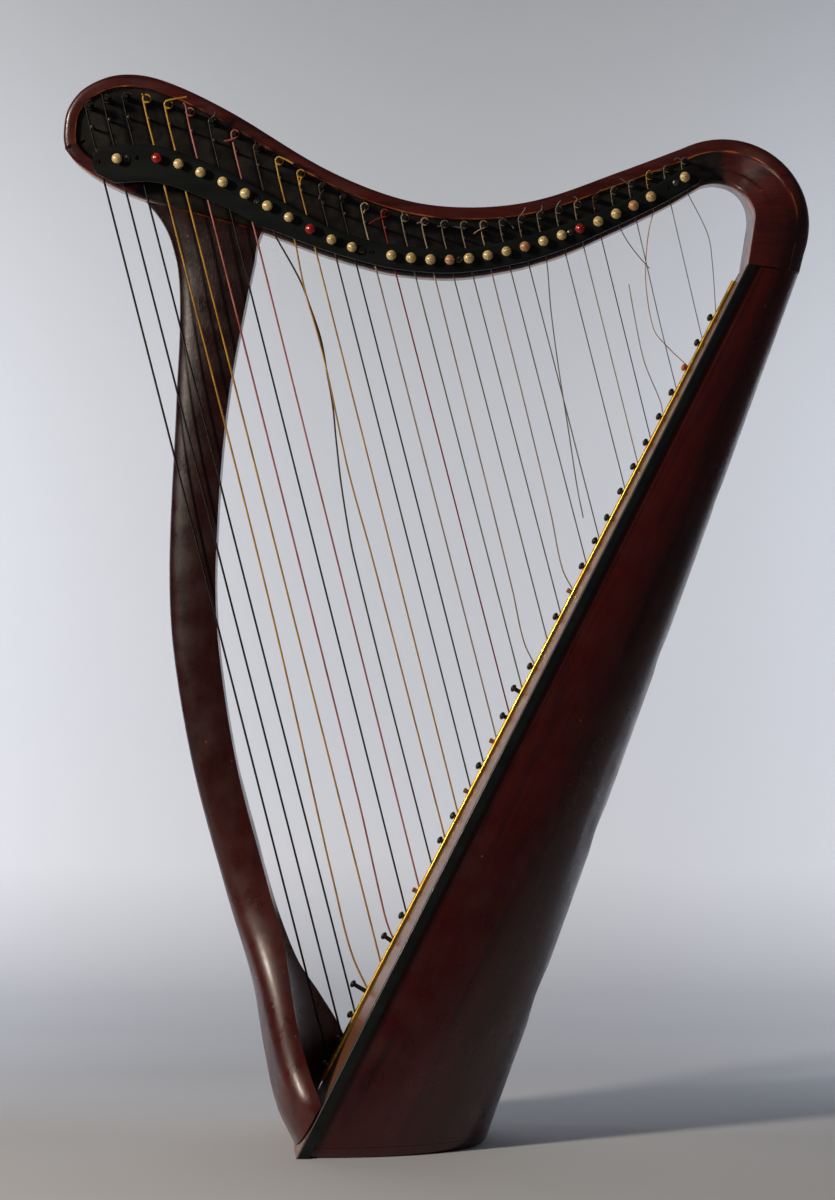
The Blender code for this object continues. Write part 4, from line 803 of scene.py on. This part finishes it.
def makePillar():
    heights = np.concatenate([np.linspace(0, 0.30, 90), np.linspace(0.304, 0.815, 70)])
    front = smoothAt(pillar["front"], heights)
    nearX = smoothAt(pillar["back"], heights)
    farX = np.where(heights < 0.342, smoothAt(pillar["farBack"], heights), nearX)
    hollow = np.where(heights < 0.342, smoothAt(pillar["hollow"], heights), nearX)
    nearY = smoothAt(pillar["nearSide"], heights)
    farY = smoothAt(pillar["farSide"], heights)
    middle, half = (nearY + farY) / 2, (farY - nearY) / 2
    angle = math.pi * (np.linspace(0, 1, 56) - 0.5)
    power = pillar["roundness"]
    side = np.sign(angle) * np.abs(np.sin(angle)) ** power
    out = np.abs(np.cos(angle)) ** power
    out[[0, -1]] = 0
    across = 1 - np.arange(1, 40) / 20
    edge = mix(nearX[:, None], farX[:, None], (side[None] + 1) / 2)
    frontX = edge + (front[:, None] - edge) * out[None]
    frontY = middle[:, None] + half[:, None] * side[None]
    edge = mix(nearX[:, None], farX[:, None], (across[None] + 1) / 2)
    depth = (hollow - (nearX + farX) / 2)[:, None]
    backX = edge + depth * (1 - across[None] ** 2)
    backY = middle[:, None] + half[:, None] * across[None]
    ringX = np.concatenate([frontX, backX], 1)
    ringY = np.concatenate([frontY, backY], 1)
    grid = np.stack([ringX, ringY, np.broadcast_to(heights[:, None], ringX.shape)], -1)
    # the top meets the slanting seat under the neck
    seatLeft, seatRight = np.array([-0.231, 0.8717]), np.array([-0.122, 0.8417])
    last = grid[-1].copy()
    share = (last[:, 0] - last[:, 0].min()) / (last[:, 0].max() - last[:, 0].min())
    end = np.stack([mix(seatLeft[0], seatRight[0], share), last[:, 1],
                    mix(seatLeft[1], seatRight[1], share)], -1)
    stepUp = np.linspace(0, 1, 12)[1:, None, None]
    swell = smoothAt(((0, 0), (0.4, 0.22), (0.7, 0.52), (1, 1)), stepUp[:, 0, 0])[:, None]
    rise = mix(last[None], end[None], stepUp)
    rise[..., 0] = mix(last[None, :, 0], end[None, :, 0], swell)
    grid = np.concatenate([grid, rise], 0)
    piece = addSurface("pillarAndFoot", grid, "pillar", cap=True, replaces=["pillar"])
    # cut the foot to the face of the soundboard
    share = np.linspace(-0.05, 0.7, 31)
    across = np.linspace(-1, 1, 25)
    way = unit(boxBack(share) - boardEdge(share)) * slant
    rise = crownAt(share)[:, None] * (1 - across ** 2) + gap
    faceGrid = boardEdge(share)[:, None] - way[:, None] * rise[..., None]
    faceGrid[..., 1] += across * soundbox["halfFoot"] * 1.2
    deep = faceGrid + way[:, None] * 0.07
    cutWith(piece, np.concatenate([faceGrid, deep[:, ::-1]], 1))
    print("pillar made")


makePillar()

# brass strip along the middle of the soundboard, its section a low rounded bar
strip = {"width": 0.0070, "height": 0.0042, "below": 0.014, "beyond": 0.040}


def makeStrip():
    first = pegs[0] - boardLine * strip["below"]
    last = pegs[-1] + boardLine * strip["beyond"]
    angle = np.linspace(0, math.pi, 15)
    side = np.concatenate([[-strip["width"] / 2], -np.cos(angle) * strip["width"] / 2,
                           [strip["width"] / 2]])
    rise = np.concatenate([[0], strip["height"] * (0.45 + 0.55 * np.sin(angle) ** 0.7), [0]]) + gap
    share = np.linspace(0, 1, 60)[:, None]
    path = mix(first[None], last[None], share)
    grid = path[:, None] + boardNormal * rise[None, :, None]
    grid[..., 1] += side
    grid = np.concatenate([grid, grid[:, -2:-1] * 0.5 + grid[:, -1:] * 0.5], 1)
    addSurface("brassStrip", grid, "brass", replaces=["string_set"])


makeStrip()

# pegs: turned, tapering into the board, with a domed head; a few are odd
pegShape = {
    "radius": 0.0021, "head": 0.0037, "standout": 0.0095, "missing": (9, 18), "headless": (5,),
    "long": {4: 0.0105, 6: 0.0055, 16: 0.0040, 15: 0.0015, 1: 0.0005},
    "brown": (8, 12, 14, 20), "orange": (29,),
}


def makePegs():
    for number, place in zip(numbers, pegs):
        if number in pegShape["missing"]:
            continue
        standout = pegShape["standout"] + pegShape["long"].get(int(number), 0.0)
        radius, head = pegShape["radius"], pegShape["head"]
        profile = [(0, -0.0035), (radius * 0.8, -0.0035), (radius, 0.001), (radius * 0.95, standout - 0.0042)]
        if number in pegShape["headless"]:
            profile = [(0, -0.0035), (radius * 0.8, -0.0035), (radius, 0.001), (radius * 0.9, 0.0032),
                       (radius * 0.5, 0.0042), (0, 0.0044)]
        elif number in pegShape["brown"]:
            profile += [(radius * 1.1, standout - 0.0030), (radius * 1.1, standout - 0.0012),
                        (radius * 0.8, standout - 0.0006), (0, standout - 0.0005)]
        else:
            angle = np.linspace(-1.1, math.pi / 2, 10)
            dome = np.stack([head * np.cos(angle), standout - 0.0024 + 0.0024 * np.sin(angle)], -1)
            dome[-1, 0] = 0
            profile += [(radius * 0.9, standout - 0.0046), *dome.tolist()]
        finish = "orangePeg" if number in pegShape["orange"] + pegShape["headless"] else "peg"
        finish = "brownPeg" if number in pegShape["brown"] else finish
        tilt = boardNormal + boardLine * rng.normal(0, 0.07) + np.array([0, rng.normal(0, 0.05), 0])
        addSurface(f"peg_{number:02d}", turnedGrid(profile, place, tilt, 20), finish,
                   replaces=["string_set"])


makePegs()

# tuning pins: round in the neck, squared at the tip for the key; the section is |cos|^e, |sin|^e
# with e going from 1, round, to 0.45, square
pinShape = {"radius": 0.0026, "grip": 0.012, "standout": 0.022, "square": 0.0065}


def makePins():
    for number, place in zip(numbers, pins):
        depth = np.array([pinShape["grip"], pinShape["grip"] - 0.001, 0.0, -0.010, -0.0145, -0.0165, -0.0172,
                          -pinShape["standout"] + 0.001, -pinShape["standout"] + 0.0003,
                          -pinShape["standout"], -pinShape["standout"]])
        size = np.array([0, 1, 1, 1, 1, 0.98, 0.9, 0.84, 0.78, 0.66, 0]) * pinShape["radius"]
        exponent = np.array([1, 1, 1, 1, 1, 1, 0.62, 0.55, 0.55, 0.55, 0.55])
        angle = np.arange(24) / 24 * tau
        turn = rng.uniform(0, math.pi / 2)
        cos, sin = np.cos(angle), np.sin(angle)
        u = np.sign(cos)[None] * np.abs(cos)[None] ** exponent[:, None]
        v = np.sign(sin)[None] * np.abs(sin)[None] ** exponent[:, None]
        x = (u * math.cos(turn) - v * math.sin(turn)) * size[:, None]
        z = (u * math.sin(turn) + v * math.cos(turn)) * size[:, None]
        y = np.broadcast_to((panelY + depth)[:, None], x.shape)
        grid = np.stack([place[0] + x, y, place[2] + z], -1)
        node = f"tuning_pin_{number}" if number in (23, 27) else "string_set"
        addSurface(f"tuningPin_{number:02d}", grid, "steel", replaces=[node])
    # nut pins: thin wire pins that the strings bend over
    for number, place in zip(numbers, nuts):
        radius = mix(0.0013, 0.0009, (number - 1) / 30)
        end = -strings["standoff"] - 0.0022
        profile = ((0, -0.004), (radius, -0.004), (radius, -end - 0.0006), (radius * 1.5, -end - 0.0005),
                   (radius * 1.5, -end), (radius * 0.8, -end + 0.0003), (0, -end + 0.0004))
        centre = np.array([place[0] + radius + radii[number - 1], 0, place[2]])
        addSurface(f"nutPin_{number:02d}", turnedGrid(profile, centre, (0, -1, 0), 14), "steel")


makePins()

# strings: finish, and for the slack ones pairs of the share of
# the way from the neck to the peg and the offset in mm
stringLook = {
    "finish": {1: "darkString", 2: "darkString", 3: "darkString", 4: "goldString", 5: "goldString",
               6: "pinkString", 7: "blackString", 8: "pinkString", 9: "brownString", 10: "goldString",
               11: "goldString", 12: "brownString", 13: "blackString", 14: "paleString",
               15: "redString", 16: "greyString", 17: "paleString", 18: "greyString",
               19: "greyString", 20: "paleString", 22: "greyString", 25: "paleString",
               26: "brownString", 29: "goldString"},
    "rings": (1, 2, 3, 4, 5, 6, 10, 11, 22, 28, 31),
    "slack": {
        4: ((0, 0), (0.5, 0.6), (0.828, 6.4), (0.87, 6.9), (0.912, 7.6), (0.949, 6.9), (0.97, 4.7),
            (1, 0)),
        6: ((0, 0), (0.8, 0.4), (0.93, 2.5), (0.975, 2.6), (1, 0)),
        9: ((0, 0), (0.076, -12.5), (0.121, -15.7), (0.171, -18.1), (0.223, -16.0), (0.273, -13.9),
            (0.326, -9.2), (0.404, -3.2), (0.508, 1.0), (1, 0)),
        10: ((0, 0), (0.072, 2.2), (0.16, 0.4), (0.233, 1.0), (0.378, 4.0), (0.522, 2.1), (1, 0)),
        17: ((0, 0), (0.4, 1.5), (0.8, 3.2), (0.93, 5.0), (1, 0)),
        20: ((0, 0), (0.4, 1.0), (0.75, 3.0), (0.92, 5.5), (1, 0)),
        28: ((0, 0), (0.226, 0.2), (0.627, 0.7), (1, 0)),
        29: ((0, 0), (0.10, 8.0), (0.278, 17.3), (0.459, 23.2), (0.71, 24.8), (0.816, 17.8),
             (1, 0)),
        31: ((0, 0), (0.346, -9.8), (0.58, -7.9), (1, 0)),
    },
    # tails at the tuning pins: heading from the pin in degrees, length in mm, curl in degrees
    "tails": {4: (60, 3, 120), 5: (12, 18, -4), 6: (85, 9, 40), 7: (20, 7, 60), 8: (215, 13, -30),
              9: (40, 3, 90), 10: (-22, 13, -10), 11: (220, 9, 60), 12: (215, 11, 50),
              13: (150, 6, 60), 14: (200, 4, 80), 15: (192, 17, 25), 16: (50, 4, 90),
              17: (130, 5, 90), 19: (175, 12, -10), 20: (-160, 12, 20), 21: (-35, 12, -20),
              22: (40, 10, 30), 23: (20, 7, 90), 24: (75, 9, -30), 25: (30, 6, 160),
              26: (25, 9, 30), 28: (128, 11, 30), 29: (110, 8, -90), 30: (150, 8, 60),
              31: (95, 9, 150)},
}


def makeStrings():
    nut = nuts + standoffVector
    for k, number in enumerate(int(n) for n in numbers):
        radius = radii[k]
        wrap = pinShape["radius"] + radius
        centre = pins[k][[0, 2]]
        start = nut[k][[0, 2]]
        toPin = centre - start
        distance = np.linalg.norm(toPin)
        heading = math.atan2(toPin[1], toPin[0]) + math.asin(wrap / distance)
        beta = heading + math.pi / 2
        coils = 1.25 if number in stringLook["rings"] else 0.6
        t = np.linspace(0, 1, 44)
        angle = beta - tau * coils * t
        depth = -strings["standoff"] - 2.1 * radius * coils * t
        helix = np.stack([centre[0] + wrap * np.cos(angle), depth, centre[1] + wrap * np.sin(angle)], -1)
        # tail: leaves at its own heading after the coil and curls evenly
        headingDegrees, tailLength, curl = stringLook["tails"].get(
            number, (rng.uniform(0, 180), rng.uniform(3, 8), rng.uniform(-60, 60)))
        leave = math.radians(headingDegrees)
        last = np.linspace(angle[-1], angle[-1] - ((angle[-1] - (leave + math.pi / 2)) % tau), 20)[1:]
        ending = np.stack([centre[0] + wrap * np.cos(last), np.full(19, depth[-1] - 0.0002),
                           centre[1] + wrap * np.sin(last)], -1)
        s = np.linspace(0, 1, 16)[1:]
        bend = leave + math.radians(curl) * s
        stepLength = tailLength / 1000 / len(s)
        tail = ending[-1] + np.stack([np.cumsum(np.cos(bend)) * stepLength, -0.0015 * s,
                                      np.cumsum(np.sin(bend)) * stepLength], -1)
        if number in (23, 27):
            foot = stops[k] - stringWays[k] * (breakBelowStop - gap) + standoffVector
        elif number in pegShape["missing"]:
            foot = pegs[k] + boardNormal * 0.0012
        else:
            foot = pegs[k] + boardNormal * 0.0012 + boardLine * (pegShape["radius"] * 0.6)
        run = mix(nut[k][None], foot[None], np.linspace(1, 0, 72)[:, None])
        if number in stringLook["slack"]:
            neckPoint = crossings[k] + standoffVector
            share = np.linspace(1, 0, 72)
            offset = smoothAt(stringLook["slack"][number], share) / 1000
            run = mix(neckPoint[None], foot[None], share[:, None])
            way = unit(foot - neckPoint)
            run += offset[:, None] * np.array([way[2], 0, -way[0]])
            run = np.vstack([run, nut[k][None]])
        path = np.vstack([run, mix(run[-1][None], helix[:1], np.linspace(0, 1, 8)[1:-1, None]), helix, ending,
                          tail])
        keep = np.concatenate([[True], np.linalg.norm(np.diff(path, axis=0), axis=1) > 1e-5])
        finish = stringLook["finish"].get(number, "greyString")
        node = f"tuning_pin_{number}" if number in (23, 27) else "string_set"
        addSurface(f"string_{number:02d}", tubeGrid(path[keep], radius), finish, replaces=[node],
                   sharp=80)
    for name, piece in looseCords.items():
        piece.data.materials.append(finishes["paleString" if "stub" in name else "greyString"])
    print("strings made:", len(numbers))


makeStrings()

# stop plate: a strip of lacquered metal with rounded ends that hides the strings' way under the neck
plate = {"face": -0.0200, "thickness": 0.0024, "aboveFirst": 0.0125, "aboveLast": 0.0090,
         "overEdge": 0.003, "depth": 0.022, "endRound": 0.006, "posts": 6, "postRadius": 0.0024,
         "spindle": 0.0018, "missing": (1, 3, 14, 30)}


def makePlate():
    start, end = crossings[0][0] - 0.004, crossings[-1][0] + 0.006
    x = np.linspace(start, end, 160)
    row = smoothAt(strings["stopRow"], x)
    topZ = row + mix(plate["aboveFirst"], plate["aboveLast"], np.linspace(0, 1, len(x)))
    lowZ = np.maximum(neckEdgeAt(x) + plate["overEdge"], row - plate["depth"])
    # the ends close by a half ellipse
    turn = np.linspace(math.pi / 2, 0, 14)[1:]
    parts = []
    for side, at in ((-1, 0), (1, -1)):
        mid, half = (topZ[at] + lowZ[at]) / 2, (topZ[at] - lowZ[at]) / 2
        extra = np.stack([x[at] + side * plate["endRound"] * np.cos(turn), mid + half * np.sin(turn),
                          mid - half * np.sin(turn)], -1)
        parts.append(extra[::-1] if side < 0 else extra)
    body = np.stack([x, topZ, lowZ], -1)
    line = np.vstack([parts[0], body, parts[1]])
    bevel = 0.0007
    across = line[:, 1] - line[:, 2]
    small = np.minimum(bevel, across / 2.5)
    near, far = plate["face"] - plate["thickness"], plate["face"]
    rows = ((near, 1.0), (near + bevel * 0.35, 0.35), (near + bevel, 0.0), (far - 0.0003, 0.0), (far, 0.4))
    ring = []
    for w in np.linspace(0, 1, 7)[1:-1]:
        ring.append((near, line[:, 2] + small + (across - 2 * small) * w))
    for y, inset in rows:
        ring.append((y, line[:, 1] - small * inset))
    for w in np.linspace(1, 0, 7)[1:-1]:
        ring.append((far, line[:, 2] + small + (across - 2 * small) * w))
    for y, inset in rows[::-1]:
        ring.append((y, line[:, 2] + small * inset))
    grid = np.stack([np.stack([line[:, 0], np.full(len(line), y), z], -1) for y, z in ring], 1)
    piece = addSurface("stopPlate", grid, "ebonised", replaces=["stop_plate"])
    for number in plate["missing"]:
        place = stops[number - 1] + np.array([0, near + plate["thickness"] / 2, 0])
        cutWith(piece, turnedGrid(rod(plate["spindle"] + 0.0004, -0.004, 0.004), place, (0, -1, 0), 24))
    # posts from the plate to the panel, and the screws through them
    for index in range(plate["posts"]):
        number = round(mix(2, strings["count"] - 1.5, index / (plate["posts"] - 1)))
        place = (stops[number - 1] + stops[number]) / 2
        profile = rod(plate["postRadius"], -panelY + gap, -far - 0.0001)
        addSurface(f"platePost_{index + 1}", turnedGrid(profile, place, (0, -1, 0), 28), "ebonised")
        # dome head with a slot: height dome(r) less the slot where |x| < 0.35 mm
        head, height = 0.0030, 0.0014
        r = np.concatenate([np.linspace(0, 1, 16), [1.0, 0.55, 0.55, 0]]) * head
        dome = height * np.sqrt(1 - (np.linspace(0, 1, 16) * 0.93) ** 2)
        z = np.concatenate([dome, [0, 0, -0.012, -0.012]])
        screw = turnedGrid(np.stack([r, z - near + gap], -1), place, (0, -1, 0), 48)
        local = (screw - place)[..., [0, 2]]
        slotTurn = rng.uniform(0, math.pi)
        cross = local @ np.array([math.cos(slotTurn), math.sin(slotTurn)])
        dip = np.clip((0.00055 - np.abs(cross)) / 0.0002, 0, 1) * 0.0007
        screw[:16, :, 1] += dip[:16]
        addSurface(f"plateScrew_{index + 1}", screw, "screwSteel", replaces=[f"plate_screw_{index + 1}"],
                   sharp=30)
    print("stop plate made")


makePlate()

# stops: a turned knob in front of the plate, a disc with two prongs behind it; both turn together
stopShape = {"knob": 0.0047, "length": 0.0085, "spindle": 0.0018, "disc": 0.0052,
             "discThickness": 0.0012,
             "prong": 0.0010, "reach": 0.0040, "red": (4, 11, 25), "brown": (18, 22, 28),
             "stained": (12, 13, 15, 16, 17, 19, 20, 21, 26, 27, 29, 31)}


def makeStops():
    near = -plate["face"] + plate["thickness"]
    for number in (int(n) for n in numbers):
        if number in plate["missing"]:
            continue
        place = stops[number - 1]
        name = f"stop_{number:02d}"
        scale = 0.96 + 0.08 * rng.random()
        knob, length = stopShape["knob"] * scale, stopShape["length"]
        foot = near + gap
        angle = np.linspace(-0.9, math.pi / 2, 22)
        bead = np.stack([knob * np.cos(angle), foot + length * 0.55 + length * 0.43 * np.sin(angle)], -1)
        bead[-1, 0] = 0
        # a turned groove and a small pip in the middle of the face
        share = bead[:, 0] / knob
        groove = np.exp(-((share - 0.52) / 0.07) ** 2) * (angle > 0.3)
        pip = np.exp(-(share / 0.20) ** 2) * (angle > 0.3)
        bead[:, 1] += -0.00022 * groove + 0.0003 * pip
        stem = np.array([(0, near - 0.001), (stopShape["spindle"], near - 0.001),
                         (stopShape["spindle"], foot), (knob * 0.60, foot),
                         (knob * 0.60, foot + length * 0.12), (knob * 0.52, foot + length * 0.17)])
        profile = np.vstack([stem, bead])
        grid = turnedGrid(profile, place, (0, -1, 0), 40)
        stain = np.concatenate([np.full(6, 0.8), np.clip(groove + 0.9 * pip, 0, 1)
                                * (1.0 if number in stopShape["stained"] else 0.35)])
        stain = np.repeat(stain[:, None], 40, 1)
        finish = "red" if number in stopShape["red"] else "ivory"
        finish = "brownIvory" if number in stopShape["brown"] else finish
        addSurface(f"knob_{number:02d}", grid, finish, body=name, values={"stain": stain},
                   replaces=[name], sharp=60)
        # disc and prongs
        disc = -plate["face"] - gap
        back = disc - stopShape["discThickness"]
        wide = stopShape["disc"]
        profile = ((0, back), (wide - 0.0003, back), (wide, back + 0.0003),
                   (wide, disc - 0.0003), (wide - 0.0003, disc), (stopShape["spindle"], disc),
                   (stopShape["spindle"], near - 0.0012), (0, near - 0.0012))
        addSurface(f"stopDisc_{number:02d}", turnedGrid(profile, place, (0, -1, 0), 36), "brass", body=name,
                   replaces=[name])
        way = stringWays[number - 1]
        across = np.array([way[2], 0, -way[0]])
        tipY = strings["standoff"] - radii[number - 1] - 0.0006
        for label, side in (("left", -1), ("right", 1)):
            radius = stopShape["prong"]
            profile = ((0, tipY), (radius * 0.7, tipY), (radius, tipY + 0.0003), (radius, back - 0.0001),
                       (0, back - 0.0001))
            addSurface(f"prong_{number:02d}_{label}", turnedGrid(profile, place + across * side
                       * stopShape["reach"], (0, -1, 0), 14), "brass", body=name, replaces=[name])
    print("stops made")


makeStops()

# what stays as the CAD has it: the hidden wood and its fasteners
for name in ("top_block", "bottom_block", "lower_rib", "middle_rib", "upper_rib", "inner_string_bar",
             "shoulder_dowel", "neck_dowel_lower", "neck_dowel_upper", "foot_screw_near",
             "foot_screw_far"):
    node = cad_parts[name]
    node.data.materials.clear()
    node.data.materials.append(finishes["screwSteel" if "screw" in name else "bare"])

# floor and backdrop: one sheet of pale paper that sweeps up behind the harp
studio = {"wall": 1.15, "sweep": 0.35, "half": 1.5, "front": -0.6, "top": 1.9}


def makeStudio():
    angle = np.linspace(0, math.pi / 2, 24)
    sweep = studio["sweep"]
    y = np.concatenate([[studio["front"], 0.0], studio["wall"] - sweep + sweep * np.sin(angle),
                        [studio["wall"]]])
    z = np.concatenate([[0.0, 0.0], sweep * (1 - np.cos(angle)), [studio["top"]]])
    x = np.array([-studio["half"], studio["half"]])
    grid = np.stack([np.broadcast_to(x[None], (len(y), 2)), np.broadcast_to(y[:, None], (len(y), 2)),
                     np.broadcast_to(z[:, None], (len(y), 2))], -1)
    index = np.arange(len(y) * 2).reshape(-1, 2)
    faces = np.stack([index[:-1, 0], index[:-1, 1], index[1:, 1], index[1:, 0]], -1)
    mesh = bpy.data.meshes.new("paperSweep")
    mesh.from_pydata(grid.reshape(-1, 3).tolist(), [], faces.tolist())
    mesh.shade_smooth()
    material, tree, shader = newMaterial("paperPale", Roughness=0.85)
    place = addPlace(tree)
    # painted light and shade on the paper: grey on the floor, palest low on the wall, a little greyer again
    # at the top
    split = addNode(tree, "ShaderNodeSeparateXYZ", None, {"Vector": place}).outputs
    run = addMaths(tree, "ADD", split["Y"], split["Z"])
    wobble = addMaths(tree, "MULTIPLY_ADD", addNoise(tree, place, 3.0, 5.0), 0.10, run)
    paintedShadeGrading = ((0.0, "#dfe2e6"), (0.22, "#d0d3d8"), (0.34, "#b0b3b8"), (0.50, "#b0b3b9"),
               (0.60, "#d2d5da"), (0.80, "#c8ccd1"), (1.0, "#b0b5ba"))
    tree.links.new(addRamp(tree, addRange(tree, wobble, -0.6, 2.6), paintedShadeGrading), shader.inputs["Base Color"])
    mesh.materials.append(material)
    floor = bpy.data.objects.new("paperSweep", mesh)
    bpy.context.scene.collection.objects.link(floor)


def addLamp(name, place, target, size, power, colour="#ffffff"):
    lamp = bpy.data.objects.new(name, bpy.data.lights.new(name, "AREA"))
    lamp.data.shape = "RECTANGLE"
    lamp.data.size, lamp.data.size_y = size
    lamp.data.energy = power
    lamp.data.color = linearColour(colour)[:3]
    lamp.location = place
    way = np.array(target, float) - np.array(place, float)
    yaw = math.atan2(way[1], way[0]) - math.pi / 2
    pitch = math.atan2(way[2], math.hypot(way[0], way[1]))
    lamp.rotation_euler = (math.pi / 2 + pitch, 0, yaw)
    bpy.context.scene.collection.objects.link(lamp)


makeStudio()
addLamp("key", (-2.4, -1.75, 1.70), (0.05, 0, 0.50), (0.35, 0.5), 72, "#fff1e0")
addLamp("backdropLeft", (-1.0, 0.35, 0.65), (-0.72, 1.15, 0.55), (0.3, 1.3), 9, "#f1f5ff")
addLamp("backdropRight", (1.0, 0.35, 0.65), (0.72, 1.15, 0.55), (0.3, 1.3), 8, "#f1f5ff")
world = bpy.data.worlds.new("softRoom")
world.use_nodes = True
world.node_tree.nodes["Background"].inputs["Color"].default_value = linearColour("#ccd2e0")
world.node_tree.nodes["Background"].inputs["Strength"].default_value = 0.06
bpy.context.scene.world = world
bpy.context.scene.view_settings.view_transform = "Standard"
print("studio made")
